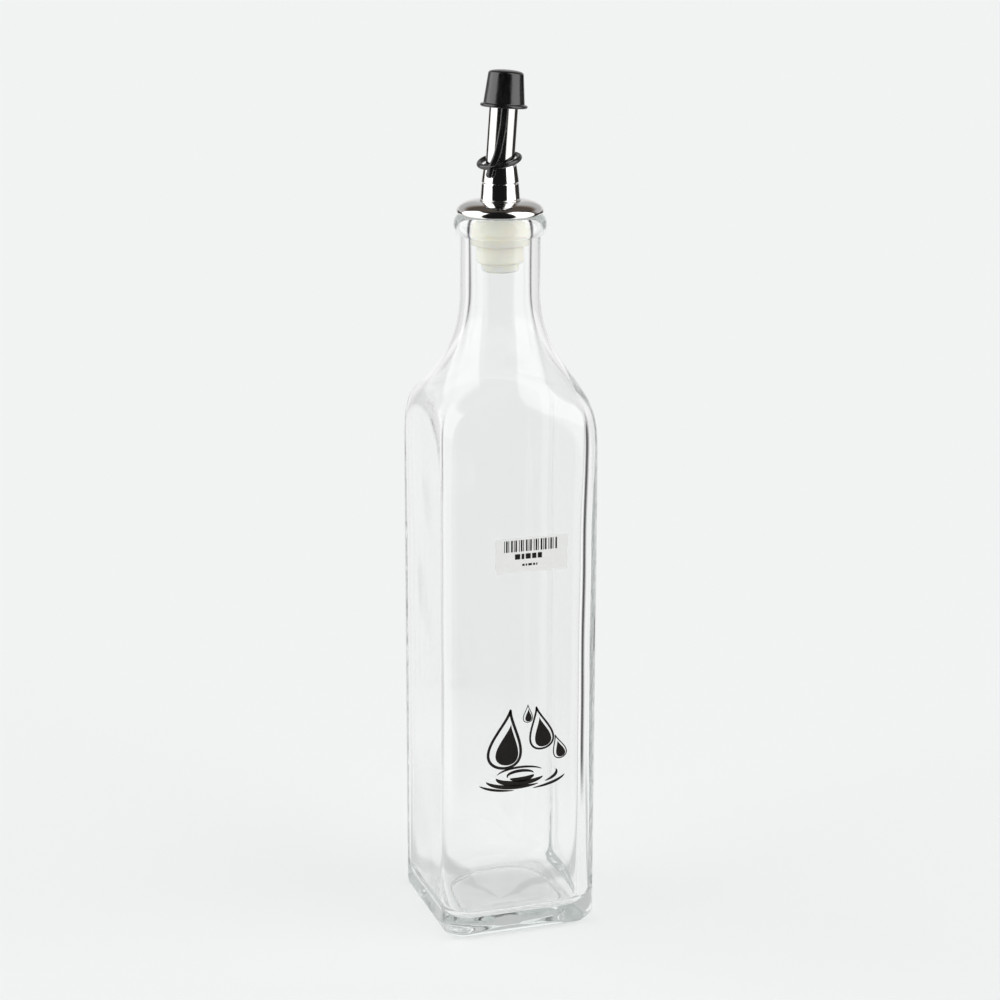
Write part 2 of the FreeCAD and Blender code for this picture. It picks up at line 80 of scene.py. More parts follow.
class Slot(Enum):
    """Material slots of the record."""

    GLASS = "glass"
    STOPPER = "stopper_plastic"
    STEEL = "polished_steel"
    RUBBER = "black_rubber"
    PAPER = "sticker_paper"


class Node(Enum):
    """Solids of the frame."""

    GLASS = "bottle_glass"
    STOPPER = "pour_stopper"
    FLANGE = "dome_flange"
    COLLAR = "spout_collar"
    SLEEVE = "spout_sleeve"
    TUBE = "spout_tube"
    CAP = "pour_cap"
    STICKER = "shelf_sticker"


# --- nodes ---------------------------------------------------------------------


class NodeKit:
    """Builder of a node tree, with what the materials and the world share."""

    def __init__(self, tree: bpy.types.NodeTree) -> None:
        """Work on a tree.

        Args:
            tree: the node tree that is added to.
        """
        self.tree = tree

    def join(self, value: Input, socket: Socket) -> None:
        """Put a number, a colour, a vector or another socket into a socket.

        Args:
            value: what goes in.
            socket: the input that takes it.
        """
        if isinstance(value, bpy.types.NodeSocket):
            self.tree.links.new(value, socket)
        elif socket.type == "RGBA":
            socket.default_value = (*value, 1.0)
        else:
            socket.default_value = value

    def node(
        self, kind: str, inputs: dict[str | int, Input] | None = None, **settings: object,
    ) -> bpy.types.Node:
        """Add a node.

        Args:
            kind: type of the node.
            inputs: what goes into its inputs, by name or by place.
            settings: its properties by name.

        Returns:
            The node.
        """
        made = self.tree.nodes.new(kind)
        for key, value in settings.items():
            setattr(made, key, value)
        for key, value in (inputs or {}).items():
            self.join(value, made.inputs[key])
        return made

    def number(self, operation: str, *values: Input) -> Socket:
        """Work out one number.

        Args:
            operation: what is done with the values.
            values: one or two numbers or sockets.

        Returns:
            The result.
        """
        return self.node("ShaderNodeMath", dict(enumerate(values)), operation=operation).outputs[0]

    def ranged(
        self, value: Socket, source: tuple[float, float], target: tuple[float, float],
        kind: str = "SMOOTHSTEP",
    ) -> Socket:
        """Bring a value from one range to another, and hold it there past the ends.

        Args:
            value: the value.
            source: its own range.
            target: the range it is brought to.
            kind: way of going between the ends.

        Returns:
            The result.
        """
        ends = dict(zip(("From Min", "From Max", "To Min", "To Max"), (*source, *target)))
        made = self.node("ShaderNodeMapRange", {"Value": value, **ends}, interpolation_type=kind)
        return made.outputs["Result"]

    def step(self, value: Socket, edge: tuple[float, float]) -> Socket:
        """A soft step from 0 at the edge's start to 1 at its end."""
        return self.ranged(value, edge, (0.0, 1.0))

    def within(self, value: Socket, band: tuple[float, float], soft: float) -> Socket:
        """A band that is 1 inside and falls off softly round both of its ends.

        Args:
            value: the value that is tested.
            band: the two ends.
            soft: half of the width of each fall.

        Returns:
            The share inside.
        """
        low, high = band
        rise = self.step(value, (low - soft, low + soft))
        fall = self.number("SUBTRACT", 1.0, self.step(value, (high - soft, high + soft)))
        return self.number("MULTIPLY", rise, fall)

    def mixed(self, share: Socket, first: Input, second: Input, kind: str = "VALUE") -> Socket:
        """A number or a colour between two.

        Args:
            share: 0 for the first and 1 for the second.
            first: number, colour or socket.
            second: number, colour or socket.
            kind: VALUE for numbers, RGBA for colours.

        Returns:
            The result.
        """
        made = self.node(
            "ShaderNodeMix", {"Factor": share}, data_type="FLOAT" if kind == "VALUE" else kind,
        )
        # A Mix node has an A and a B for each kind of value.
        for name, value in (("A", first), ("B", second)):
            self.join(value, next(s for s in made.inputs if (s.name, s.type) == (name, kind)))
        return next(s for s in made.outputs if s.type == kind)

    def layered(self, share: Socket, first: Socket, second: Socket) -> Socket:
        """A surface or a background between two."""
        return self.node("ShaderNodeMixShader", {0: share, 1: first, 2: second}).outputs["Shader"]

    def parts(self, vector: Socket) -> Sequence[Socket]:
        """The three parts of a vector."""
        return self.node("ShaderNodeSeparateXYZ", {"Vector": vector}).outputs

    def sideways(self, way: Socket, front: float) -> Socket:
        """Angle of a place or direction round Z, seen from above.

        Args:
            way: the place or direction.
            front: where the front is, in degrees.

        Returns:
            Degrees from the front, positive to the right.
        """
        turn = (0.0, 0.0, math.radians(-front))
        turned_way = self.node("ShaderNodeMapping", {"Vector": way, "Rotation": turn})
        x, y, _ = self.parts(turned_way.outputs["Vector"])
        angle = self.number("ARCTAN2", x, self.number("MULTIPLY", y, -1.0))
        return self.number("MULTIPLY", angle, math.degrees(1))


class Shader(NodeKit):
    """Builder of one node material on Object coordinates."""

    def __init__(self, name: str) -> None:
        """Start a material with a Principled surface.

        Args:
            name: name of the material.
        """
        self.material = bpy.data.materials.new(name)
        self.material.use_nodes = True
        super().__init__(self.material.node_tree)
        self.surface = next(n for n in self.tree.nodes if n.type == "BSDF_PRINCIPLED")
        self.output = next(n for n in self.tree.nodes if n.type == "OUTPUT_MATERIAL")
        self.place = self.node("ShaderNodeTexCoord").outputs["Object"]

    def set(self, **values: Input) -> None:
        """Fill inputs of the Principled surface; an underscore stands for a space."""
        for key, value in values.items():
            self.join(value, self.surface.inputs[key.replace("_", " ")])

    def noise(
        self, scale: float, detail: float = 3.0, rough: float = 0.5, stretch: Stretch | None = None,
    ) -> Socket:
        """Noise over the piece.

        Args:
            scale: waves per metre.
            detail: octaves.
            rough: weight of the finer octaves.
            stretch: share of the waves along each axis.

        Returns:
            The socket with values round a half.
        """
        place = self.place
        if stretch:
            mapping = self.node("ShaderNodeMapping", {"Vector": place, "Scale": stretch})
            place = mapping.outputs["Vector"]
        inputs = {"Vector": place, "Scale": scale, "Detail": detail, "Roughness": rough}
        return self.node("ShaderNodeTexNoise", inputs).outputs["Fac"]

    def spread(self, noise: Socket, low: float, high: float) -> Socket:
        """A noise value brought between two numbers."""
        return self.ranged(noise, (0.3, 0.7), (low, high), "LINEAR")

    def tint(self, noise: Socket, first: Colour, second: Colour) -> None:
        """Colour the surface between two colours by a noise."""
        self.set(Base_Color=self.mixed(self.spread(noise, 0.0, 1.0), first, second, "RGBA"))

    def relief(self, value: Socket, depth: float, strength: float = 1.0) -> None:
        """Bump the surface.

        Args:
            value: height as a value.
            depth: height of the relief in millimetres.
            strength: how much of it shows.
        """
        inputs = {"Height": value, "Distance": depth * MM, "Strength": strength}
        self.set(Normal=self.node("ShaderNodeBump", inputs).outputs["Normal"])


# --- finishes ------------------------------------------------------------------


@dataclass(frozen=True)
class ClearGlass:
    """Clear soda-lime glass, a little green where it is thick."""

    index: float = 1.46
    body_colour: Colour = (0.88, 0.94, 0.92)
    density: float = 10.0
    wave: float = 55.0
    wave_depth: float = 0.05
    wave_stretch: Stretch = (1.0, 1.0, 0.35)
    # painted glow of the glass where light is lost in it: its dark grey, its light grey and its
    # streaks
    painted_glow_dark: Colour = (0.025, 0.027, 0.026)
    painted_glow_light: Colour = (0.50, 0.512, 0.503)
    painted_glow_streaks: float = 850.0
    painted_glow_stretch: Stretch = (1.0, 1.0, 0.3)
    most_turns: float = 3.5
    total_reflection: float = 0.99

    def make(self) -> Material:
        """Build the material.

        Returns:
            The node material.
        """
        shader = Shader("clear_glass")
        shader.set(
            Base_Color=(1.0, 1.0, 1.0), Roughness=0.0, IOR=self.index, Transmission_Weight=1.0,
        )
        waves = shader.noise(self.wave, detail=2.0, rough=0.4, stretch=self.wave_stretch)
        shader.relief(waves, self.wave_depth)
        # painted light: the glass glows grey where light stays trapped in it
        self.paint_lost_light_glow(shader)
        body = {"Color": self.body_colour, "Density": self.density}
        volume = shader.node("ShaderNodeVolumeAbsorption", body)
        shader.join(volume.outputs["Volume"], shader.output.inputs["Volume"])
        return shader.material

    def paint_lost_light_glow(self, shader: Shader) -> None:
        """Paint a glow into the glass: where light has turned about in a thick edge for too long and
        is held by total reflection, the glass glows a streaky grey instead of going black.

        Args:
            shader: the glass.
        """
        turns = shader.node("ShaderNodeLightPath").outputs["Glossy Depth"]
        mirror = shader.node("ShaderNodeFresnel", {"IOR": self.index}).outputs["Fac"]
        late = shader.number("GREATER_THAN", turns, self.most_turns)
        kept = shader.number("GREATER_THAN", mirror, self.total_reflection)
        lost = shader.number("MULTIPLY", late, kept)
        # the painted glow is streaky between a dark and a light grey
        painted_glow_streaks = shader.noise(self.painted_glow_streaks, rough=0.6, stretch=self.painted_glow_stretch)
        shade = shader.spread(painted_glow_streaks, 0.0, 1.0)
        end = shader.mixed(shade, self.painted_glow_dark, self.painted_glow_light, "RGBA")
        glow = shader.mixed(lost, (0.0, 0.0, 0.0), end, "RGBA")
        shader.set(Emission_Color=glow, Emission_Strength=1.0)
        shader.material.cycles.emission_sampling = "NONE"


@dataclass(frozen=True)
class PolishedSteel:
    """Polished stainless steel with faint polishing marks."""

    colour: Colour = (0.80, 0.79, 0.78)
    worn_colour: Colour = (0.74, 0.73, 0.71)
    rough: tuple[float, float] = (0.07, 0.13)
    wear: float = 90.0
    marks: float = 900.0
    marks_depth: float = 0.004
    marks_stretch: Stretch = (0.12, 0.12, 1.0)

    def make(self) -> Material:
        """Build the material.

        Returns:
            The node material.
        """
        shader = Shader("polished_steel")
        wear = shader.noise(self.wear, detail=4.0)
        shader.tint(wear, self.colour, self.worn_colour)
        shader.set(Metallic=1.0, Roughness=shader.spread(wear, *self.rough))
        marks = shader.noise(self.marks, detail=2.0, rough=0.6, stretch=self.marks_stretch)
        shader.relief(marks, self.marks_depth)
        return shader.material


@dataclass(frozen=True)
class MouldedRubber:
    """Black moulded rubber with a satin skin."""

    colour: Colour = (0.002, 0.002, 0.002)
    dusty_colour: Colour = (0.012, 0.012, 0.012)
    rough: tuple[float, float] = (0.14, 0.28)
    dust: float = 700.0
    grain: float = 2200.0
    grain_depth: float = 0.03
    stretch: Stretch = (1.0, 1.0, 0.22)

    def make(self) -> Material:
        """Build the material.

        Returns:
            The node material.
        """
        shader = Shader("moulded_rubber")
        dust = shader.noise(self.dust, detail=5.0, rough=0.65, stretch=self.stretch)
        shader.tint(dust, self.colour, self.dusty_colour)
        shader.set(Specular_IOR_Level=0.7, Roughness=shader.spread(dust, *self.rough))
        grain = shader.noise(self.grain, rough=0.6, stretch=self.stretch)
        shader.relief(grain, self.grain_depth, strength=0.6)
        return shader.material


@dataclass(frozen=True)
class StopperPlastic:
    """Soft off-white polyethylene that lets some light through."""

    colour: Colour = (0.96, 0.935, 0.845)
    deep_colour: Colour = (0.94, 0.90, 0.785)
    rough: float = 0.42
    glow: float = 0.7
    glow_depth: float = 2.6
    glow_reach: Stretch = (1.0, 0.85, 0.6)
    cloud: float = 220.0
    skin: float = 1800.0
    skin_depth: float = 0.01

    def make(self) -> Material:
        """Build the material.

        Returns:
            The node material.
        """
        shader = Shader("stopper_plastic")
        shader.set(
            Roughness=self.rough, Subsurface_Weight=self.glow,
            Subsurface_Radius=self.glow_reach, Subsurface_Scale=self.glow_depth * MM,
        )
        shader.tint(shader.noise(self.cloud, detail=4.0), self.colour, self.deep_colour)
        shader.relief(shader.noise(self.skin, detail=2.0), self.skin_depth, strength=0.4)
        return shader.material


@dataclass(frozen=True)
class StickerPaper:
    """White coated paper with a faint fibre."""

    colour: Colour = (0.91, 0.915, 0.905)
    fibre_colour: Colour = (0.865, 0.87, 0.855)
    rough: float = 0.5
    fibre: float = 1400.0
    fibre_depth: float = 0.012
    fibre_stretch: Stretch = (1.0, 1.0, 0.4)

    def make(self) -> Material:
        """Build the material.

        Returns:
            The node material.
        """
        shader = Shader("sticker_paper")
        shader.set(Roughness=self.rough)
        fibre = shader.noise(self.fibre, detail=5.0, rough=0.7, stretch=self.fibre_stretch)
        shader.tint(fibre, self.colour, self.fibre_colour)
        shader.relief(fibre, self.fibre_depth, strength=0.5)
        return shader.material


@dataclass(frozen=True)
class PrintInk:
    """Black printing ink, a little thinner in places."""

    name: str
    colour: Colour = (0.006, 0.005, 0.004)
    thin_colour: Colour = (0.016, 0.013, 0.011)
    rough: float = 0.38
    shine: float = 0.2
    blot: float = 900.0
    blot_depth: float = 0.01

    def make(self) -> Material:
        """Build the material.

        Returns:
            The node material.
        """
        shader = Shader(self.name)
        shader.set(Roughness=self.rough, Specular_IOR_Level=self.shine)
        blot = shader.noise(self.blot, detail=5.0, rough=0.6)
        shader.tint(blot, self.colour, self.thin_colour)
        shader.relief(blot, self.blot_depth, strength=0.4)
        return shader.material


# --- meshes --------------------------------------------------------------------


class Corner(NamedTuple):
    """A corner of a turned outline, in millimetres."""

    reach: float
    height: float
    rounding: float = 0.0
    steps: int = 4


def bow(
    middle: tuple[float, float], half: tuple[float, float], start: float, end: float, steps: int,
) -> list[Corner]:
    """Corners along part of an ellipse.

    Args:
        middle: reach and height of its middle.
        half: its two half widths.
        start: first angle in degrees, from outwards to up.
        end: last angle in degrees.
        steps: how many parts it is drawn in.

    Returns:
        The corners, ends included.
    """
    angles = [math.radians(start + (end - start) * i / steps) for i in range(steps + 1)]
    return [
        Corner(middle[0] + half[0] * math.cos(a), middle[1] + half[1] * math.sin(a))
        for a in angles
    ]


def ease(first: float, second: float, share: float) -> float:
    """A value between two, level at both ends.

    Args:
        first: value at a share of 0.
        second: value at a share of 1.
        share: how far along.

    Returns:
        The value.
    """
    share = min(max(share, 0.0), 1.0)
    return first + (second - first) * share * share * (3 - 2 * share)


def level_way(degrees: float) -> Vector:
    """Level direction at an angle from +X."""
    angle = math.radians(degrees)
    return Vector((math.cos(angle), math.sin(angle), 0))


def verts_of(geom: Sequence[object]) -> list[bmesh.types.BMVert]:
    """The vertices among what an operator made."""
    return [item for item in geom if isinstance(item, bmesh.types.BMVert)]


def finish_piece(
    bm: bmesh.types.BMesh, name: str, slot: Slot, material: Material,
    replaces: Sequence[Node] = (), crease: float = 40.0,
) -> None:
    """Turn a mesh in millimetres into a piece of the object, riding on its body.

    Args:
        bm: the mesh, in millimetres, which is used up.
        name: name of the piece.
        slot: slot of the record that its finish comes from; not used.
        material: its material.
        replaces: solids that it stands for.
        crease: angle in degrees above which an edge stays sharp.
    """
    bmesh.ops.remove_doubles(bm, verts=bm.verts, dist=WELD)
    bmesh.ops.recalc_face_normals(bm, faces=bm.faces)
    bmesh.ops.scale(bm, vec=(MM, MM, MM), verts=bm.verts)
    mesh = bpy.data.meshes.new(name)
    bm.to_mesh(mesh)
    bm.free()
    mesh.shade_smooth()
    mesh.set_sharp_from_angle(angle=math.radians(crease))
    mesh.materials.append(material)
    piece = bpy.data.objects.new(name, mesh)
    bpy.context.scene.collection.objects.link(piece)
    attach(piece, BODY)
    if replaces:
        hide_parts(*(node.value for node in replaces))
    log.info("%s: %d faces", name, len(mesh.polygons))


def spin_round(bm: bmesh.types.BMesh, steps: int) -> None:
    """Turn an outline once round Z.

    Args:
        bm: the outline.
        steps: facets round the axis.
    """
    bmesh.ops.spin(
        bm, geom=bm.verts[:] + bm.edges[:], cent=(0, 0, 0), axis=(0, 0, 1),
        angle=FULL_TURN, steps=steps, use_merge=True, use_duplicate=False,
    )


def round_off(
    bm: bmesh.types.BMesh, spots: Sequence[bmesh.types.BMVert], rounding: float, steps: int,
) -> None:
    """Round the corners of an outline.

    Args:
        bm: its mesh.
        spots: the corners.
        rounding: how far from each corner the rounding starts.
        steps: facets of each rounding.
    """
    bmesh.ops.bevel(
        bm, geom=spots, offset=rounding, offset_type="OFFSET", segments=steps,
        profile=0.5, affect="VERTICES", material=-1,
    )


def turned(corners: Sequence[Corner], steps: int = 128) -> bmesh.types.BMesh:
    """A piece turned about Z.

    Args:
        corners: closed outline of its section, with a rounding at each corner.
        steps: facets round the axis.

    Returns:
        The mesh, in millimetres.
    """
    bm = bmesh.new()
    spots = [bm.verts.new((c.reach, 0.0, c.height)) for c in corners]
    for first, second in zip(spots, spots[1:] + spots[:1]):
        bm.edges.new((first, second))
    for spot, corner in zip(spots, corners):
        if corner.rounding:
            round_off(bm, [spot], corner.rounding, corner.steps)
    spin_round(bm, steps)
    bmesh.ops.remove_doubles(bm, verts=bm.verts, dist=WELD)
    return bm


class Loft:
    """A skin drawn out ring by ring from a first circle."""

    def __init__(self, segments: int, place: Place) -> None:
        """Start with one ring.

        Args:
            segments: points of the ring.
            place: where each point of a unit circle goes.
        """
        self.bm = bmesh.new()
        bmesh.ops.create_circle(self.bm, cap_ends=False, segments=segments, radius=1.0)
        self.ring = list(self.bm.verts)
        self.edges = list(self.bm.edges)
        self.first = list(self.edges)
        self.settle(place)

    def settle(self, place: Place) -> None:
        """Move the points of the last ring."""
        for vert in self.ring:
            vert.co = place(vert.co.copy())

    def draw(self, place: Place) -> None:
        """Draw the last ring out.

        Args:
            place: where each point of the last ring goes.
        """
        made = bmesh.ops.extrude_edge_only(self.bm, edges=self.edges)["geom"]
        self.ring = verts_of(made)
        fresh = set(self.ring)
        self.edges = [
            item for item in made
            if isinstance(item, bmesh.types.BMEdge) and fresh.issuperset(item.verts)
        ]
        self.settle(place)

    def gather(self, point: Vector) -> None:
        """Close the last ring to one point."""
        self.draw(lambda spot: point)
        bmesh.ops.remove_doubles(self.bm, verts=self.ring, dist=WELD)


def squared(spot: Vector, power: float = 0.62) -> Vector:
    """A point of a unit circle, moved onto a rounded square."""
    return Vector((*(math.copysign(abs(part) ** power, part) for part in spot.xy), 0))


def swept_band(
    path: Sequence[Vector], outwards: Sequence[Vector], half_width: float, half_depth: float,
    taper: Sequence[float], segments: int = 36,
) -> bmesh.types.BMesh:
    """A flat band with rounded edges along a path.

    Args:
        path: points of its middle line.
        outwards: direction of its broad face at each point.
        half_width: half of its width.
        half_depth: half of its thickness.
        taper: share of its full section at each point.
        segments: facets round it.

    Returns:
        The mesh.
    """
    last = len(path) - 1
    loft: Loft | None = None
    back = Matrix.Identity(4)
    for index, (point, out, share) in enumerate(zip(path, outwards, taper)):
        way = (path[min(index + 1, last)] - path[max(index - 1, 0)]).normalized()
        across = way.cross(out).normalized()
        rows = Matrix((across * half_width * share, across.cross(way) * half_depth * share, way))
        here = Matrix.Translation(point) @ rows.transposed().to_4x4()
        if loft is None:
            loft = Loft(segments, lambda spot: here @ squared(spot))
        else:
            step = here @ back.inverted()
            loft.draw(lambda spot: step @ spot)
        back = here
    bmesh.ops.holes_fill(loft.bm, edges=loft.first + loft.edges, sides=0)
    return loft.bm


def level_ring(reach: Callable[[Vector], float], level: float) -> Place:
    """Place of a level ring round the axis.

    Args:
        reach: distance from the axis in a direction.
        level: its height.

    Returns:
        Where each point of a ring goes.
    """

    def place(spot: Vector) -> Vector:
        """The point's new place, in its own direction."""
        way = Vector((spot.x, spot.y, 0)).normalized()
        return way * reach(way) + Vector((0, 0, level))

    return place


def square_reach(way: Vector, half: float, corner: float) -> float:
    """Distance from the axis to a rounded square.

    Args:
        way: unit vector outwards.
        half: half of its width.
        corner: radius of its corners.

    Returns:
        The distance in that direction.
    """
    large, small = sorted((abs(way.x), abs(way.y)), reverse=True)
    flat = half / large
    inset = half - corner
    if flat * small <= inset:
        return flat
    along = inset * (large + small)
    return along + math.sqrt(max(along * along - 2 * inset * inset + corner * corner, 0))


def square_ring(half: float, corner: float, level: float) -> Place:
    """Place of a level ring in the form of a rounded square."""
    return level_ring(lambda way: square_reach(way, half, corner), level)


def round_ring(reach: float, level: float) -> Place:
    """Place of a level round ring."""
    return level_ring(lambda way: reach, level)


# --- bottle --------------------------------------------------------------------


@dataclass
class BottleGlass:
    """The glass of the bottle, as one closed skin from its base to its mouth and back."""

    half: float
    height: float
    corner: float = 8.8
    heel: float = 5.0
    shoulder_level: float = 179.7
    shoulder_reach: float = 43.5
    shoulder_arc: float = 29.8
    neck_sweep: float = 46.7
    neck: float = 14.5
    blend: float = 7.0
    flare: float = 0.12
    lip_bulge: float = 2.3
    lip_depth: float = 7.4
    mouth_drop: float = 0.35
    mouth_rounding: float = 0.9
    wall: float = 3.5
    shoulder_wall: float = 2.9
    neck_wall: float = 3.8
    thinning: tuple[float, float] = (-35.0, 12.0)
    full_neck: float = 30.0
    inner_corner: float = 8.0
    inner_heel: float = 6.0
    floor: float = 6.5
    floor_rise: float = 2.0
    floor_corner: float = 12.0
    recess_margin: float = 8.5
    recess_corner: float = 14.0
    recess_depth: float = 1.6
    recess_rise: float = 0.5
    uneven: float = 0.16
    heavy_back: float = 1.1
    heavy_width: float = 0.17
    heavy_levels: tuple[float, float] = (20.0, 65.0)
    segments: int = 208
    crowding: float = 0.55

    @property
    def mouth(self) -> float:
        """Height of the top of the lip, just below the flange."""
        return self.height - self.mouth_drop

    @property
    def recess(self) -> float:
        """Half of the width of the recess under the base."""
        return self.half - self.recess_margin

    def crowd(self, spot: Vector) -> Vector:
        """Move a point of the first circle nearer to the upright corners.

        Args:
            spot: a point of a unit circle.

        Returns:
            Its new place on the circle.
        """
        angle = math.atan2(spot.y, spot.x)
        angle += self.crowding / 4 * math.sin(4 * angle)
        return Vector((math.cos(angle), math.sin(angle), 0))

    def bell_reach(self, level: float) -> float:
        """Radius of the round form that the square body goes over into.

        Args:
            level: height above the base.

        Returns:
            The radius of the shoulder or the neck.
        """
        centre = self.shoulder_reach - self.shoulder_arc
        reach = self.shoulder_arc + self.neck_sweep
        turn = math.acos((self.neck + self.neck_sweep - centre) / reach)
        throat = self.shoulder_level + math.sin(turn) * reach
        above = level - self.shoulder_level
        if above <= 0:
            return self.shoulder_reach - self.flare * above
        if above < math.sin(turn) * self.shoulder_arc:
            return centre + math.sqrt(self.shoulder_arc ** 2 - above ** 2)
        if level < throat:
            below = throat - level
            return self.neck + self.neck_sweep - math.sqrt(self.neck_sweep ** 2 - below ** 2)
        return self.neck

    def blended(self, square: float, bell: float) -> float:
        """The smaller of two reaches, rounded where they meet."""
        share = min(max(0.5 + 0.5 * (bell - square) / self.blend, 0.0), 1.0)
        return bell * (1 - share) + square * share - self.blend * share * (1 - share)

    def glass_at(self, level: float) -> float:
        """Thickness of the glass, measured level.

        Args:
            level: height above the base.

        Returns:
            The thickness, which is least on the shoulder.
        """
        low, middle = (self.shoulder_level + rise for rise in self.thinning)
        high = self.height - self.full_neck
        if level < middle:
            return ease(self.wall, self.shoulder_wall, (level - low) / (middle - low))
        return ease(self.shoulder_wall, self.neck_wall, (level - middle) / (high - middle))

    def wander(self, angle: float, level: float) -> float:
        """Small unevenness of the inner wall, as blown glass has it.

        Args:
            angle: direction from the axis, in radians.
            level: height above the base.

        Returns:
            How far the inner wall lies outside its even place.
        """
        slow = math.sin(level / 23 + 1.3 * math.sin(angle + 0.7)) * math.cos(2 * angle + level / 61)
        quick = math.sin(level / 7.3 + 2 * angle) * math.sin(3 * angle + 0.4)
        return self.uneven * (slow + 0.35 * quick) - self.heaviness(angle, level)

    def heaviness(self, angle: float, level: float) -> float:
        """Extra glass low down in the right back corner.

        Args:
            angle: direction from the axis, in radians.
            level: height above the base.

        Returns:
            Its thickness.
        """
        foot, top = self.heavy_levels
        corner = math.exp(-((angle - math.pi / 4) / self.heavy_width) ** 2) * self.heavy_back
        return corner * ease(1.0, 0.0, (level - foot) / (top - foot))

    def outside(self, level: float, inset: float = 0.0) -> Place:
        """Place of the outer skin at a height.

        Args:
            level: the height.
            inset: how far it is moved in.

        Returns:
            Where each point of a ring goes.
        """
        bell = self.bell_reach(level)
        half, corner = self.half - inset, max(self.corner - inset, 0.5)
        return level_ring(lambda way: self.blended(square_reach(way, half, corner), bell), level)

    def inside(self, level: float, inset: float = 0.0) -> Place:
        """Place of the inner skin at a height.

        Args:
            level: the height.
            inset: how far it is moved in.

        Returns:
            Where each point of a ring goes.
        """
        glass = self.glass_at(level)
        bell = self.bell_reach(level) - glass
        half, corner = self.half - glass - inset, max(self.inner_corner - inset, 1.0)

        def reach(way: Vector) -> float:
            """Distance from the axis to the uneven inner wall."""
            even = self.blended(square_reach(way, half, corner), bell)
            return even + self.wander(math.atan2(way.y, way.x), level)

        return level_ring(reach, level)

    def wall_levels(self, foot: float, top: float) -> list[float]:
        """Heights of the rings of a wall, closer on the shoulder.

        Args:
            foot: lowest height.
            top: highest height.

        Returns:
            The heights, upwards.
        """
        levels = [foot]
        while levels[-1] < top:
            curved = levels[-1] > self.shoulder_level - 30
            levels.append(levels[-1] + (1.5 if curved else 5.0))
        levels[-1] = top
        return levels

    def draw_base(self, loft: Loft) -> None:
        """Draw the underside, from the middle of the recess out to the heel.

        Args:
            loft: the skin.
        """
        for share in (0.3, 0.6, 0.85):
            rise = self.recess_depth + self.recess_rise * (1 - share * share)
            loft.draw(square_ring(self.recess * share, self.recess_corner * share, rise))
        for turn in range(0, 91, 30):
            angle = math.radians(turn)
            reach = self.recess - self.recess_depth * (1 - math.sin(angle))
            level = self.recess_depth * math.cos(angle)
            loft.draw(square_ring(reach, self.recess_corner * 0.95, level))
        loft.draw(square_ring(self.recess + 0.8, self.recess_corner * 0.9, 0.0))

    def draw_heel(self, loft: Loft) -> None:
        """Draw the rounding from the base to the upright walls.

        Args:
            loft: the skin.
        """
        for turn in range(0, 91, 9):
            angle = math.radians(turn)
            inset = self.heel * (1 - math.sin(angle))
            loft.draw(self.outside(self.heel * (1 - math.cos(angle)), inset))

    def draw_lip(self, loft: Loft) -> None:
        """Draw the bead of the lip and turn in to the mouth.

        Args:
            loft: the skin.
        """
        half_depth = self.lip_depth / 2
        for turn in range(-90, 91, 10):
            angle = math.radians(turn)
            swell = math.cos(angle) if abs(turn) < 90 else 0.0
            level = self.mouth - half_depth * (1 - math.sin(angle))
            loft.draw(round_ring(self.neck + self.lip_bulge * swell, level))
        bore = self.neck - self.neck_wall
        for turn in range(0, 91, 18):
            angle = math.radians(turn)
            loft.draw(round_ring(bore + self.mouth_rounding * (1 - math.sin(angle)),
                                 self.mouth - self.mouth_rounding * (1 - math.cos(angle))))

    def draw_floor(self, loft: Loft) -> None:
        """Draw the rounding at the foot of the hollow and the domed floor.

        Args:
            loft: the skin.
        """
        for turn in range(0, 91, 9):
            angle = math.radians(turn)
            inset = self.inner_heel * (1 - math.cos(angle))
            loft.draw(self.inside(self.floor + self.inner_heel * (1 - math.sin(angle)), inset))
        edge = self.half - self.wall - self.inner_heel
        for share in (0.85, 0.65, 0.45, 0.25, 0.1):
            level = self.floor + self.floor_rise * (1 - share * share)
            loft.draw(square_ring(edge * share, self.floor_corner * share, level))
        loft.gather(Vector((0, 0, self.floor + self.floor_rise)))

    def make(self, material: Material) -> None:
        """Build the glass.

        Args:
            material: clear glass.
        """
        start = square_ring(
            self.recess * 0.1, self.recess_corner * 0.1, self.recess_depth + self.recess_rise,
        )
        loft = Loft(self.segments, lambda spot: start(self.crowd(spot)))
        self.draw_base(loft)
        self.draw_heel(loft)
        for level in self.wall_levels(self.heel, self.mouth - self.lip_depth)[1:]:
            loft.draw(self.outside(level))
        self.draw_lip(loft)
        for level in reversed(self.wall_levels(self.floor + self.inner_heel, self.mouth - 1.2)):
            loft.draw(self.inside(level))
        self.draw_floor(loft)
        bmesh.ops.holes_fill(loft.bm, edges=loft.first, sides=0)
        finish_piece(loft.bm, "bottle_glass_skin", Slot.GLASS, material, [Node.GLASS], 60)


# --- pourer --------------------------------------------------------------------


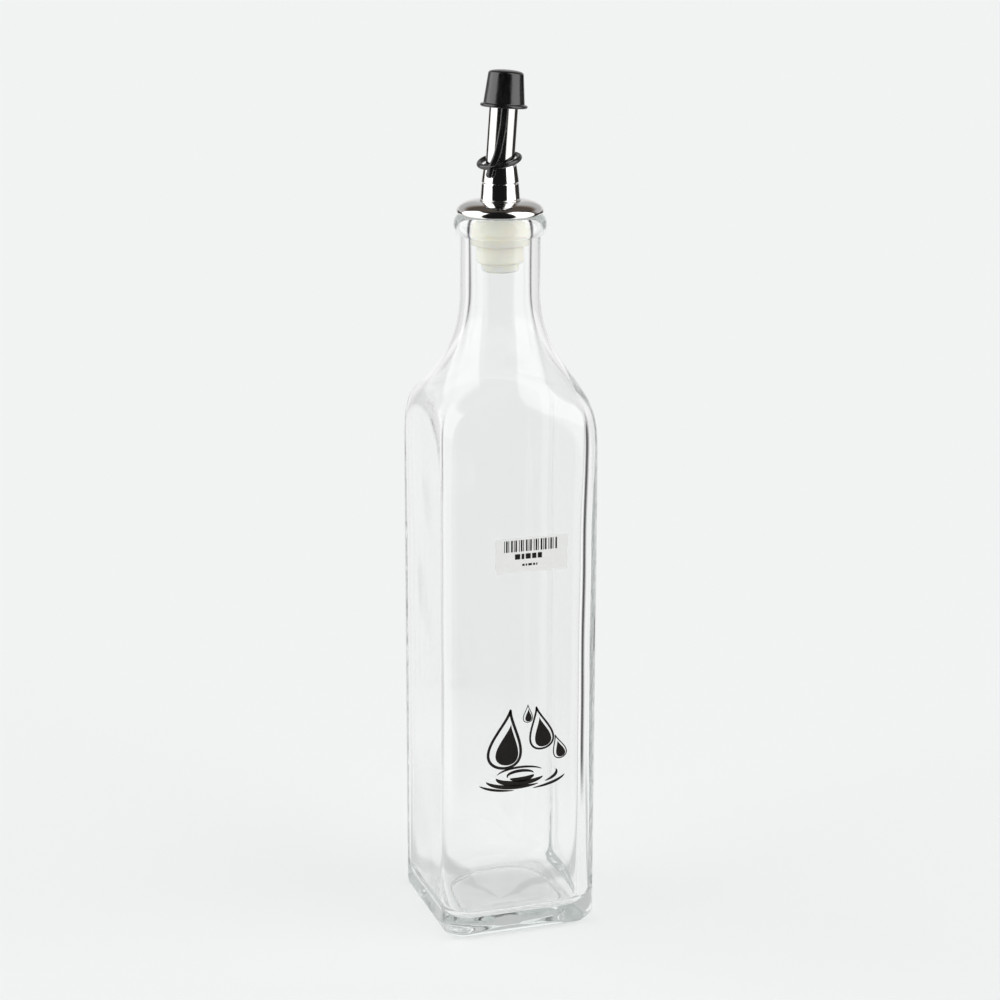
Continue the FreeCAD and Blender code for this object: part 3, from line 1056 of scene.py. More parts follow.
@dataclass
class Pourer:
    """The stopper, the domed flange, the collar, the sleeve and the bent tube."""

    mouth: float
    bore: float = 10.7
    clearance: float = 0.10
    tube: float = 5.2
    tube_wall: float = 0.6
    tube_fit: float = 0.05
    tube_rounding: float = 0.2
    lean: float = 5.3
    heading: float = 26.0
    bend_rise: float = 1.4
    bend_radius: float = 18.0
    bend_steps: int = 8
    spout_length: float = 26.7
    flange_radius: float = 15.85
    flange_height: float = 4.5
    flange_drop: float = 0.32
    flange_belly: float = 0.95
    flange_hem: float = 1.5
    flange_foot: float = 2.05
    flange_crest: float = 0.25
    collar_length: float = 6.6
    collar_wall: float = 2.0
    collar_top_wall: float = 1.5
    sleeve_length: float = 6.6
    sleeve_top_wall: float = 0.6
    stopper_depth: float = 20.6
    tip_wall: float = 1.6
    waist_depth: float = 17.4
    waist_step: float = 2.1
    seal_depth: float = 11.2
    head_height: float = 1.0
    head_inset: float = 2.1
    ring: float = 0.2
    ring_slope: float = 0.3
    ring_edges: tuple[float, float] = (7.6, 6.8)
    cuff_depth: float = 5.9
    top_recess: float = 1.4

    @property
    def hole(self) -> float:
        """Radius of the holes that the tube passes through."""
        return self.tube + self.tube_fit

    @property
    def flange_top(self) -> float:
        """Height of the collar's foot."""
        return self.mouth + self.flange_height

    @property
    def collar_top(self) -> float:
        """Height where the collar ends and the sleeve starts."""
        return self.flange_top + self.collar_length

    @property
    def sleeve_top(self) -> float:
        """Height where the bare tube starts."""
        return self.collar_top + self.sleeve_length

    @property
    def bend_start(self) -> float:
        """Height where the tube starts to bend."""
        return self.sleeve_top + self.bend_rise

    @property
    def side(self) -> Vector:
        """Level direction of the spout's lean."""
        return level_way(self.heading)

    def bent(self, degrees: float) -> Matrix:
        """Frame on the tube's axis where it has turned by an angle.

        Args:
            degrees: how far it has turned, up to the lean of the spout.

        Returns:
            The frame, with its Z along the axis.
        """
        angle = math.radians(degrees)
        spot = self.side * (self.bend_radius * (1 - math.cos(angle)))
        spot.z = self.bend_start + self.bend_radius * math.sin(angle)
        turn = Matrix.Rotation(angle, 4, Vector((0, 0, 1)).cross(self.side))
        return Matrix.Translation(spot) @ turn

    @property
    def tip(self) -> Matrix:
        """Frame in the middle of the tube's open end."""
        return self.bent(self.lean) @ Matrix.Translation((0, 0, self.spout_length))

    def axis_at(self, level: float) -> Vector:
        """The point of the spout's axis at a height.

        Args:
            level: height above the base, on the sleeve or the spout.

        Returns:
            The point.
        """
        bent = self.bent(self.lean).translation
        if level <= bent.z:
            return Vector((0, 0, level))
        reach = bent.xy.length + (level - bent.z) * math.tan(math.radians(self.lean))
        return self.side * reach + Vector((0, 0, level))

    def make_stopper(self, material: Material) -> None:
        """Build the stepped stopper with its sealing rings.

        Args:
            material: stopper plastic.
        """
        seal = self.bore - self.clearance
        groove = seal - self.ring
        waist = seal - self.waist_step
        tip = self.hole + self.tip_wall
        head = self.flange_radius - self.head_inset
        mouth = self.mouth
        ring_foot, ring_top = (mouth - depth for depth in self.ring_edges)
        cuff = mouth - self.cuff_depth
        corners = [
            Corner(self.hole, mouth - self.stopper_depth, 0.2),
            Corner(tip, mouth - self.stopper_depth, 1.2, 6),
            Corner(tip, mouth - self.waist_depth, 0.3),
            Corner(waist, mouth - self.waist_depth, 0.9, 5),
            Corner(waist, mouth - self.seal_depth, 0.4),
            Corner(groove, mouth - self.seal_depth + 0.5, 0.4),
            Corner(groove, ring_foot - self.ring_slope, 0.1),
            Corner(seal, ring_foot, 0.2),
            Corner(seal, ring_top, 0.2),
            Corner(groove, ring_top + self.ring_slope, 0.1),
            Corner(groove, cuff - self.ring_slope, 0.1),
            Corner(seal, cuff, 0.2),
            Corner(seal, mouth, 0.1),
            Corner(head, mouth + 0.01, 0.1),
            Corner(head, mouth + self.head_height, 0.3),
            Corner(seal, mouth + self.head_height, 0.3),
            Corner(tip, self.flange_top - self.top_recess, 0.3),
            Corner(self.hole, self.flange_top - self.top_recess, 0.2),
        ]
        finish_piece(turned(corners), "pour_stopper_body", Slot.STOPPER, material, [Node.STOPPER])

    def make_flange(self, material: Material) -> None:
        """Build the domed flange, with a rolled rim and a swept foot for the collar.

        Args:
            material: polished steel.
        """
        outer = self.flange_radius - 0.1
        hem = outer - self.flange_hem
        seat = self.mouth - self.flange_drop
        widest = self.mouth + self.flange_belly
        foot = self.hole + self.flange_foot
        crest = self.flange_top + self.flange_crest
        corners = bow((hem, widest), (outer - hem, widest - seat), -90, 0, 8)
        corners += bow((foot, widest), (outer - foot, crest - widest), 4, 90, 22)
        corners += [
            Corner(self.hole + 0.1, crest),
            Corner(self.hole + 0.1, crest - 1.15),
            Corner(foot + 0.7, crest - 1.4),
            Corner(hem, widest - 0.1),
        ]
        finish_piece(turned(corners, 160), "dome_flange_steel", Slot.STEEL, material, [Node.FLANGE])

    def make_collar(self, material: Material) -> None:
        """Build the tapered collar, with a bead at its foot and its top.

        Args:
            material: polished steel.
        """
        foot = self.hole + self.collar_wall
        top = self.hole + self.collar_top_wall
        low, high = self.flange_top, self.collar_top
        corners = [
            Corner(self.hole + 0.05, low + 0.26),
            Corner(foot + 0.2, low + 0.26, 0.24, 5),
            Corner(foot + 0.2, low + 0.75, 0.2, 3),
            Corner(foot - 0.12, low + 0.95, 0.1, 2),
            Corner(top, high - 0.4, 0.15, 3),
            Corner(top - 0.14, high - 0.02, 0.08, 3),
            Corner(self.hole + 0.05, high - 0.02),
        ]
        finish_piece(turned(corners, 160), "spout_collar_steel", Slot.STEEL, material, [Node.COLLAR])

    def make_sleeve(self, material: Material) -> None:
        """Build the tapered sleeve, with a bead where it meets the collar.

        Args:
            material: polished steel.
        """
        foot = self.hole + self.collar_top_wall
        top = self.hole + self.sleeve_top_wall
        low, high = self.collar_top, self.sleeve_top
        corners = [
            Corner(self.hole + 0.05, low),
            Corner(foot - 0.14, low, 0.08, 3),
            Corner(foot, low + 0.34, 0.2, 4),
            Corner(foot - 0.04, low + 0.8, 0.2, 3),
            Corner(top + 0.1, high - 0.5, 0.3, 3),
            Corner(top - 0.1, high, 0.2, 4),
            Corner(self.hole + 0.02, high, 0.02, 2),
        ]
        finish_piece(turned(corners, 160), "spout_sleeve_steel", Slot.STEEL, material, [Node.SLEEVE])

    def make_tube(self, material: Material) -> None:
        """Build the bent tube, with rounded ends.

        Args:
            material: polished steel.
        """
        foot = Matrix.Translation((0, 0, self.mouth - self.stopper_depth))
        bend = [self.bent(self.lean * i / self.bend_steps) for i in range(self.bend_steps + 1)]
        outer, inner = self.tube, self.tube - self.tube_wall
        rounding = self.tube_rounding
        stops = [(foot, outer, rounding)]
        stops += [(frame, outer, 0.0) for frame in bend]
        stops += [(self.tip, outer, -rounding), (self.tip, outer - rounding, 0.0)]
        stops += [(self.tip, inner + 0.15, 0.0), (self.tip, inner, -rounding)]
        stops += [(frame, inner, 0.0) for frame in reversed(bend)]
        stops += [(foot, inner, 0.0)]
        back, reach = foot, outer - rounding
        loft = Loft(96, lambda spot: foot @ (spot * reach))
        for frame, size, lift in stops:
            here = frame @ Matrix.Translation((0, 0, lift))
            step = here @ Matrix.Scale(size / reach, 4) @ back.inverted()
            loft.draw(lambda spot: step @ spot)
            back, reach = here, size
        bmesh.ops.bridge_loops(loft.bm, edges=loft.first + loft.edges)
        finish_piece(loft.bm, "spout_tube_steel", Slot.STEEL, material, [Node.TUBE])

    def make(self, steel: Material, plastic: Material) -> None:
        """Build every piece of the pourer.

        Args:
            steel: polished steel.
            plastic: stopper plastic.
        """
        self.make_stopper(plastic)
        self.make_flange(steel)
        self.make_collar(steel)
        self.make_sleeve(steel)
        self.make_tube(steel)


# --- cap -----------------------------------------------------------------------


class RoutePoint(NamedTuple):
    """A point of the strap's route: share of the way down, heading and gap to the tube."""

    share: float
    heading: float
    gap: float


@dataclass
class PourCap:
    """The rubber cap with its ring and its strap, one moulding."""

    pourer: Pourer
    fit: float = 0.10
    cover: float = 9.8
    length: float = 12.1
    foot_wall: float = 2.1
    top_wall: float = 0.9
    crown: float = 1.05
    rim_overhang: float = 1.1
    rim_thickness: float = 0.95
    ring_play: float = 1.15
    ring_section: float = 0.95
    ring_tilt: float = 13.3
    ring_heading: float = 23.6
    ring_rise: float = 1.2
    ring_slack: float = 0.5
    strap: float = 1.2
    strap_width: float = 1.26
    strap_depth: float = 0.864
    tab: float = 0.5
    route: tuple[RoutePoint, ...] = (
        RoutePoint(0.00, 255.0, 0.40),
        RoutePoint(0.37, 252.3, 0.55),
        RoutePoint(0.83, 242.0, 0.66),
        RoutePoint(1.08, 228.0, 1.20),
        RoutePoint(1.19, 224.0, 1.55),
    )

    def make_shell(self, material: Material) -> None:
        """Build the cap, with a flared rim and a domed top.

        Args:
            material: moulded rubber.
        """
        bore = self.pourer.tube + self.fit
        foot = bore + self.foot_wall
        rim = foot + self.rim_overhang
        high = bore + self.top_wall
        low = -self.cover
        top = self.length - self.cover
        corners = [
            Corner(0.0, self.fit),
            Corner(bore, self.fit, 0.3),
            Corner(bore, low, 0.2),
            Corner(rim, low, 0.58, 6),
            Corner(rim, low + self.rim_thickness + 0.25, 0.55, 6),
            Corner(foot + 0.02, low + self.rim_thickness + 0.3, 0.35, 5),
            Corner(high + 0.12, top + 0.14, 0.38, 5),
        ]
        corners += bow((0.0, top + 0.18), (high - 0.15, self.crown), 8, 90, 14)
        bm = turned(corners)
        bmesh.ops.transform(bm, matrix=self.pourer.tip, verts=bm.verts)
        finish_piece(bm, "pour_cap_shell", Slot.RUBBER, material, [Node.CAP])

    @property
    def ring_level(self) -> float:
        """Height of the middle of the ring."""
        return self.pourer.sleeve_top + self.ring_rise

    def make_ring(self, material: Material) -> None:
        """Build the ring that holds the strap to the tube.

        Args:
            material: moulded rubber.
        """
        reach = self.pourer.tube + self.ring_play + self.ring_section
        bm = bmesh.new()
        bmesh.ops.create_circle(
            bm, cap_ends=False, segments=24, radius=self.ring_section,
            matrix=Matrix.Translation((reach, 0, 0)) @ Matrix.Rotation(math.pi / 2, 4, "X"),
        )
        spin_round(bm, 96)
        side = level_way(self.ring_heading)
        tilt = Matrix.Rotation(-math.radians(self.ring_tilt), 4, Vector((0, 0, 1)).cross(side))
        middle = Vector((0, 0, self.ring_level)) - side * self.ring_slack
        bmesh.ops.transform(bm, matrix=Matrix.Translation(middle) @ tilt, verts=bm.verts)
        finish_piece(bm, "pour_cap_ring", Slot.RUBBER, material)

    def strap_path(self) -> list[Vector]:
        """Middle line of the strap.

        Returns:
            Points on a smooth curve through the route, from the cap's rim down.
        """
        lean = math.radians(self.pourer.lean)
        tip = self.pourer.tip.translation
        rim = tip.z - (self.cover - self.rim_thickness / 2) * math.cos(lean)
        stops = []
        for stop in self.route:
            level = rim + (self.ring_level - rim) * stop.share
            away = self.pourer.tube + self.strap + stop.gap
            stops.append(self.pourer.axis_at(level) + level_way(stop.heading) * away)
        ends = [stops[0] * 2 - stops[1], *stops, stops[-1] * 2 - stops[-2]]
        path = []
        for before, start, stop, after in zip(ends, ends[1:], ends[2:], ends[3:]):
            leave, arrive = (stop - before) / 6, (after - start) / 6
            part = interpolate_bezier(start, start + leave, stop - arrive, stop, 14)
            path += part[1:] if path else part
        return path

    def make_strap(self, material: Material) -> None:
        """Build the flat strap, which ends in a rounded tab below the ring.

        Args:
            material: moulded rubber.
        """
        path = self.strap_path()
        ahead = (path[-1] - path[-2]).normalized()
        tip = path[-1] + ahead * self.tab
        taper = [1.0] * len(path)
        for turn in (0, 20, 40, 58, 74, 87):
            angle = math.radians(turn)
            path.append(tip + ahead * self.strap * math.sin(angle))
            taper.append(math.cos(angle))
        outwards = [(spot - self.pourer.axis_at(spot.z)).normalized() for spot in path]
        band = swept_band(path, outwards, self.strap_width, self.strap_depth, taper)
        finish_piece(band, "pour_cap_strap", Slot.RUBBER, material)

    def make(self, rubber: Material) -> None:
        """Build the cap, the ring and the strap.

        Args:
            rubber: moulded rubber.
        """
        self.make_shell(rubber)
        self.make_ring(rubber)
        self.make_strap(rubber)


# --- print and sticker ---------------------------------------------------------


class Flat:
    """Flat shapes in the plane of the front face, drawn in millimetres across and up."""

    def __init__(self, front: float) -> None:
        """Start with nothing.

        Args:
            front: Y of the plane.
        """
        self.bm = bmesh.new()
        self.front = front

    def spot(self, across: float, up: float) -> Vector:
        """A point of the plane."""
        return Vector((across, self.front, up))

    def stroke(self, line: Line, width: Callable[[float], float], steps: int = 40) -> None:
        """Draw a brush stroke.

        Args:
            line: middle of the stroke at a share of the way.
            width: width there.
            steps: facets along it.
        """
        ahead, least = 1e-3, 0.01
        edge = None
        for index in range(steps + 1):
            share = index / steps
            (x0, z0), (x1, z1) = line(max(share - ahead, 0)), line(min(share + ahead, 1))
            along = Vector((x1 - x0, 0, z1 - z0)).normalized()
            off = Vector((-along.z, 0, along.x)) * max(width(share) / 2, least)
            middle = self.spot(*line(share))
            ends = (middle - off, middle + off)
            if edge is None:
                pair = [self.bm.verts.new(end) for end in ends]
                edge = self.bm.edges.new(pair)
                continue
            made = bmesh.ops.extrude_edge_only(self.bm, edges=[edge])["geom"]
            fresh = sorted(verts_of(made), key=lambda vert: (vert.co - pair[0].co).length)
            edge = self.bm.edges.get(fresh)
            for vert, end in zip(fresh, ends):
                vert.co = end
            pair = fresh

    def filled(self, line: Line, steps: int = 64) -> None:
        """Draw a filled shape.

        Args:
            line: its closed edge at a share of the way round.
            steps: facets of the edge.
        """
        made = bmesh.ops.create_circle(self.bm, cap_ends=True, segments=steps, radius=1.0)
        for vert in made["verts"]:
            share = (math.atan2(vert.co.y, vert.co.x) / FULL_TURN) % 1.0
            vert.co = self.spot(*line(share))

    def raised(self, depth: float) -> bmesh.types.BMesh:
        """Give every shape its thickness, outwards from the plane.

        Args:
            depth: the thickness.

        Returns:
            The mesh.
        """
        thicken(self.bm, depth)
        return self.bm


def thicken(bm: bmesh.types.BMesh, depth: float) -> None:
    """Draw flat faces out towards the front.

    Args:
        bm: the mesh.
        depth: how far.
    """
    made = bmesh.ops.extrude_face_region(bm, geom=bm.faces[:])["geom"]
    bmesh.ops.translate(bm, vec=(0, -depth, 0), verts=verts_of(made))


class Drop(NamedTuple):
    """A falling drop: its lowest point from the middle of the print, its size and its turn."""

    across: float
    foot: float
    width: float
    height: float
    lean: float


class Ripple(NamedTuple):
    """Part of a ripple: half of its width, its two ends in degrees and its stroke."""

    reach: float
    start: float
    end: float
    stroke: float


@dataclass
class FrontPrint:
    """The black print on the front face: falling drops over ripples."""

    front: float
    middle: Spot = (0.0, 75.0)
    water: Spot = (-1.5, 64.0)
    flatness: float = 0.33
    depth: float = 0.04
    lift: float = 0.01
    drops: tuple[Drop, ...] = (
        Drop(-7.6, -7.6, 12.6, 22.5, -8.0),
        Drop(6.4, -1.5, 9.0, 16.6, 10.0),
        Drop(13.6, -6.0, 5.0, 9.4, 16.0),
        Drop(1.2, 9.4, 3.6, 6.8, 0.0),
    )
    ripples: tuple[Ripple, ...] = (
        Ripple(5.2, 10.0, 200.0, 1.2), Ripple(5.2, 215.0, 350.0, 1.9),
        Ripple(9.6, 30.0, 165.0, 0.9), Ripple(9.6, 185.0, 335.0, 2.1),
        Ripple(14.0, 195.0, 300.0, 1.6), Ripple(14.0, 312.0, 372.0, 1.2),
        Ripple(17.8, 205.0, 262.0, 1.0), Ripple(17.8, 285.0, 345.0, 1.1),
    )

    def edge_of(self, drop: Drop) -> Line:
        """The outline of a drop.

        Args:
            drop: its place and size.

        Returns:
            The closed line.
        """
        turn = math.radians(drop.lean)
        pivot = drop.height / 3

        def line(share: float) -> Spot:
            """A point of the outline.

            Args:
                share: how far round it lies.

            Returns:
                Its place, across and up.
            """
            angle = share * FULL_TURN
            x = drop.width / 2.6 * (1 - math.sin(angle)) * math.cos(angle)
            z = drop.height / 2 * (1 + math.sin(angle)) - pivot
            across = x * math.cos(turn) - z * math.sin(turn)
            up = x * math.sin(turn) + z * math.cos(turn) + pivot
            return (self.middle[0] + drop.across + across, self.middle[1] + drop.foot + up)

        return line

    def draw_drop(self, flat: Flat, drop: Drop) -> None:
        """Draw a drop: an outline, a core, and bare glass between them.

        Args:
            flat: where it is drawn.
            drop: its place and size.
        """
        flat.stroke(self.edge_of(drop), lambda share: drop.width * 0.085, 96)
        core = Drop(drop.across + drop.width * 0.07, drop.foot + drop.height * 0.045,
                    drop.width * 0.70, drop.height * 0.72, drop.lean)
        flat.filled(self.edge_of(core))

    def draw_ripple(self, flat: Flat, ripple: Ripple) -> None:
        """Draw part of a ripple, seen from the side and thinner towards its ends.

        Args:
            flat: where it is drawn.
            ripple: its size and ends.
        """

        def line(share: float) -> Spot:
            """A point of the ripple.

            Args:
                share: how far along it lies.

            Returns:
                Its place, across and up.
            """
            angle = math.radians(ripple.start + (ripple.end - ripple.start) * share)
            return (self.water[0] + ripple.reach * math.cos(angle),
                    self.water[1] + ripple.reach * self.flatness * math.sin(angle))

        flat.stroke(line, lambda share: ripple.stroke * math.sin(math.pi * share) ** 0.6)

    def make(self, material: Material) -> None:
        """Build the print.

        Args:
            material: printing ink.
        """
        flat = Flat(self.front - self.lift)
        for drop in self.drops:
            self.draw_drop(flat, drop)
        for ripple in self.ripples:
            self.draw_ripple(flat, ripple)
        finish_piece(flat.raised(self.depth), "front_print_ink", Slot.GLASS, material)


class BlockRow(NamedTuple):
    """A row of printed blocks: its start from the left, its foot and top, and the gap between."""

    start: float
    foot: float
    top: float
    gap: float
    widths: tuple[float, ...]


@dataclass
class ShelfSticker:
    """The paper sticker, with plain stripes and blocks."""

    low: Vector
    high: Vector
    corner: float = 0.9
    paper: float = 0.09
    bed: float = 0.02
    lift: float = 0.02
    lift_reach: float = 5.0
    ink: float = 0.012
    ink_gap: float = 0.003
    grid: tuple[int, int] = (26, 12)
    stripes: tuple[float, float] = (7.9, 12.2)
    stripe_margins: tuple[float, float] = (3.3, 3.9)
    stripe_widths: tuple[float, ...] = (0.28, 0.62)
    stripe_gaps: tuple[float, ...] = (0.42, 0.30, 0.74)
    rows: tuple[BlockRow, ...] = (
        BlockRow(7.4, 5.0, 7.0, 0.55, (2.0, 1.0, 1.9, 1.6, 1.6)),
        BlockRow(10.2, 2.4, 3.2, 0.4, (0.9, 0.6, 1.4, 0.8, 0.5)),
    )

    def settle(self, bm: bmesh.types.BMesh, off: float) -> None:
        """Move flat points out from the glass, further at the lifted lower left corner.

        Args:
            bm: the mesh.
            off: how far they move where the paper lies flat.
        """
        for vert in bm.verts:
            away = math.hypot(vert.co.x - self.low.x, (vert.co.z - self.low.z) * 1.3)
            vert.co.y -= self.lift * max(0.0, 1 - away / self.lift_reach) ** 2 + off

    def make_paper(self, material: Material) -> None:
        """Build the sheet with rounded corners and one lifted corner.

        Args:
            material: sticker paper.
        """
        bm = bmesh.new()
        low, high = self.low, self.high
        corners = ((low.x, low.z), (high.x, low.z), (high.x, high.z), (low.x, high.z))
        bm.faces.new([bm.verts.new((x, high.y, z)) for x, z in corners])
        round_off(bm, bm.verts[:], self.corner, 6)
        for count, way in zip(self.grid, (Vector((1, 0, 0)), Vector((0, 0, 1)))):
            start, end = low.dot(way), high.dot(way)
            for index in range(1, count):
                bmesh.ops.bisect_plane(
                    bm, geom=bm.verts[:] + bm.edges[:] + bm.faces[:],
                    plane_co=way * (start + (end - start) * index / count), plane_no=way,
                )
        self.settle(bm, self.bed)
        thicken(bm, self.paper)
        finish_piece(bm, "shelf_sticker_paper", Slot.PAPER, material, [Node.STICKER])

    def bar(self, flat: Flat, left: float, width: float, foot: float, top: float) -> None:
        """Draw an upright block.

        Args:
            flat: where it is drawn.
            left: its left edge.
            width: its width.
            foot: its lower edge above the sticker's own.
            top: its upper edge above the sticker's lower one.
        """
        across, rise = left + width / 2, top - foot
        flat.stroke(lambda share: (across, self.low.z + foot + rise * share), lambda share: width, 4)

    def make_print(self, material: Material) -> None:
        """Build the stripes, a row of blocks and a fine line of dashes.

        Args:
            material: the sticker's ink.
        """
        flat = Flat(self.high.y)
        left, right = self.stripe_margins
        at = self.low.x + left
        index = 0
        while at < self.high.x - right:
            width = self.stripe_widths[index % len(self.stripe_widths)]
            self.bar(flat, at, width, *self.stripes)
            at += width + self.stripe_gaps[index % len(self.stripe_gaps)]
            index += 1
        for row in self.rows:
            at = self.low.x + row.start
            for width in row.widths:
                self.bar(flat, at, width, row.foot, row.top)
                at += width + row.gap
        bm = flat.raised(self.ink)
        self.settle(bm, self.bed + self.paper + self.ink_gap)
        finish_piece(bm, "shelf_sticker_print", Slot.PAPER, material)

    def make(self, paper: Material, ink: Material) -> None:
        """Build the sticker.

        Args:
            paper: sticker paper.
            ink: its ink.
        """
        self.make_paper(paper)
        self.make_print(ink)


# --- studio --------------------------------------------------------------------


@dataclass(frozen=True)
class PaintedDarkBands:
    """Painted shade: two dark bands to both sides behind the bottle, which darken the pale floor and
    world only for rays seen through glass.
    """

    front: float
    middle: float = 132.0
    reach: tuple[float, float] = (4.55, 13.0)
    # how much of the pale tone the painted dark bands take away
    shade: float = 0.40

    def light(self, kit: NodeKit, way: Socket, through: Socket) -> Socket:
        """Share of the pale tone that the painted dark bands leave.

        Args:
            kit: nodes of the floor or the world.
            way: place or direction of what is seen.
            through: 1 where it is seen through glass.

        Returns:
            The share.
        """
        away = kit.number("ABSOLUTE", kit.sideways(way, self.front))
        off = kit.number("ABSOLUTE", kit.number("SUBTRACT", away, self.middle))
        taken = kit.ranged(off, self.reach, (self.shade, 0.0))
        return kit.number("SUBTRACT", 1.0, kit.number("MULTIPLY", taken, through))


@dataclass
class Studio:
    """The camera, the pale floor, the world and the lamp."""

    aim: tuple[float, float, float] = (0.2, 0.1, 161.2)
    distance: float = 938.0
    azimuth: float = -18.324
    elevation: float = 15.702
    roll: float = 0.129
    lens: float = 91.33
    sensor: float = 36.0
    nearest: float = 0.01
    furthest: float = 100.0
    floor_size: float = 40.0
    floor_drop: float = 0.0002
    floor_colour: Colour = (0.905, 0.922, 0.914)
    pale: Colour = (0.888, 0.906, 0.897)
    table_edge: tuple[float, float] = (0.1275, 0.2125)
    floor_evenness: float = 0.83
    # painted contact shadow: less of the even tone under the bottle's footprint
    painted_shadow_evenness: float = 0.42
    painted_shadow_edge: tuple[float, float] = (0.0225, 0.0336)
    lamp_power: float = 0.3
    lamp_angle: float = 170.0
    lamp_turn: tuple[float, float] = (-4.0, 8.0)

    @property
    def back(self) -> Vector:
        """Direction from the aim to the camera.

        Returns:
            The unit vector.
        """
        azimuth = math.radians(self.azimuth)
        elevation = math.radians(self.elevation)
        return Vector((
            math.sin(azimuth) * math.cos(elevation),
            -math.cos(azimuth) * math.cos(elevation),
            math.sin(elevation),
        ))

    def make_camera(self) -> None:
        """Place the camera and make it the scene's own."""
        data = bpy.data.cameras.new("camera")
        data.lens = self.lens
        data.sensor_width = self.sensor
        data.clip_start = self.nearest
        data.clip_end = self.furthest
        camera = bpy.data.objects.new("camera", data)
        bpy.context.scene.collection.objects.link(camera)
        camera.location = (Vector(self.aim) + self.back * self.distance) * MM
        camera.rotation_mode = "QUATERNION"
        level = (-self.back).to_track_quat("-Z", "Y")
        camera.rotation_quaternion = level @ Quaternion((0, 0, 1), math.radians(self.roll))
        bpy.context.scene.camera = camera

    def floor_paper(self) -> Material:
        """Build pale paper that mirrors see only as far as the table reaches.

        Returns:
            The node material.
        """
        shader = Shader("floor_paper")
        shader.set(Base_Color=self.floor_colour, Roughness=1.0, Specular_IOR_Level=0.0)
        path = shader.node("ShaderNodeLightPath").outputs
        length = shader.node("ShaderNodeVectorMath", {0: shader.place}, operation="LENGTH")
        past_edge = shader.step(length.outputs["Value"], self.table_edge)
        mirrored = shader.number("MULTIPLY", path["Glossy Depth"], past_edge)
        seen = shader.number("SUBTRACT", 1.0, path["Is Diffuse Ray"])
        even = shader.number("MULTIPLY", seen, self.evenness(shader))
        # painted dark bands on the floor, seen only through the glass
        light = PaintedDarkBands(self.azimuth).light(shader, shader.place, path["Is Transmission Ray"])
        tone = shader.node("ShaderNodeEmission", {"Color": self.pale, "Strength": light})
        clear = shader.node("ShaderNodeBsdfTransparent").outputs["BSDF"]
        paper = shader.layered(even, shader.surface.outputs["BSDF"], tone.outputs["Emission"])
        floor = shader.layered(shader.number("MINIMUM", mirrored, 1.0), paper, clear)
        shader.join(floor, shader.output.inputs["Surface"])
        shader.material.cycles.emission_sampling = "NONE"
        return shader.material

    def evenness(self, shader: Shader) -> Socket:
        """Share of the floor's own even tone, which is less where the bottle covers it, so a painted
        contact shadow adds to the floor's real shade there.

        Args:
            shader: the floor's paper.

        Returns:
            The share.
        """
        x, y, _ = shader.parts(shader.place)
        away = shader.number("MAXIMUM", shader.number("ABSOLUTE", x), shader.number("ABSOLUTE", y))
        tones = (self.painted_shadow_evenness, self.floor_evenness)
        return shader.ranged(away, self.painted_shadow_edge, tones)

    def make_floor(self) -> None:
        """Lay the pale floor."""
        bm = bmesh.new()
        bmesh.ops.create_circle(bm, cap_ends=True, segments=96, radius=self.floor_size)
        bmesh.ops.translate(bm, vec=(0, 0, -self.floor_drop), verts=bm.verts)
        mesh = bpy.data.meshes.new("floor")
        bm.to_mesh(mesh)
        bm.free()
        mesh.materials.append(self.floor_paper())
        floor = bpy.data.objects.new("floor", mesh)
        bpy.context.scene.collection.objects.link(floor)

    def make_world(self) -> None:
        """Make the surroundings: pale where seen straight, a studio where mirrored."""
        world = bpy.data.worlds.new("studio")
        bpy.context.scene.world = world
        world.use_nodes = True
        Surroundings(self.azimuth, self.pale).make(NodeKit(world.node_tree))

    def make_lamp(self) -> None:
        """Hang a very soft overhead lamp."""
        data = bpy.data.lights.new("overhead", "SUN")
        data.energy = self.lamp_power
        data.angle = math.radians(self.lamp_angle)
        lamp = bpy.data.objects.new("overhead", data)
        lamp.rotation_euler = (*(math.radians(turn) for turn in self.lamp_turn), 0)
        lamp.visible_glossy = False
        bpy.context.scene.collection.objects.link(lamp)

    def make(self) -> None:
        """Set up everything round the object."""
        self.make_camera()
        self.make_floor()
        self.make_world()
        self.make_lamp()
        bpy.context.scene.view_settings.view_transform = "Standard"


class SoftBox(NamedTuple):
    """A soft box: its two sides and its foot and top, in degrees from the front and the level."""

    sides: tuple[float, float]
    heights: tuple[float, float]


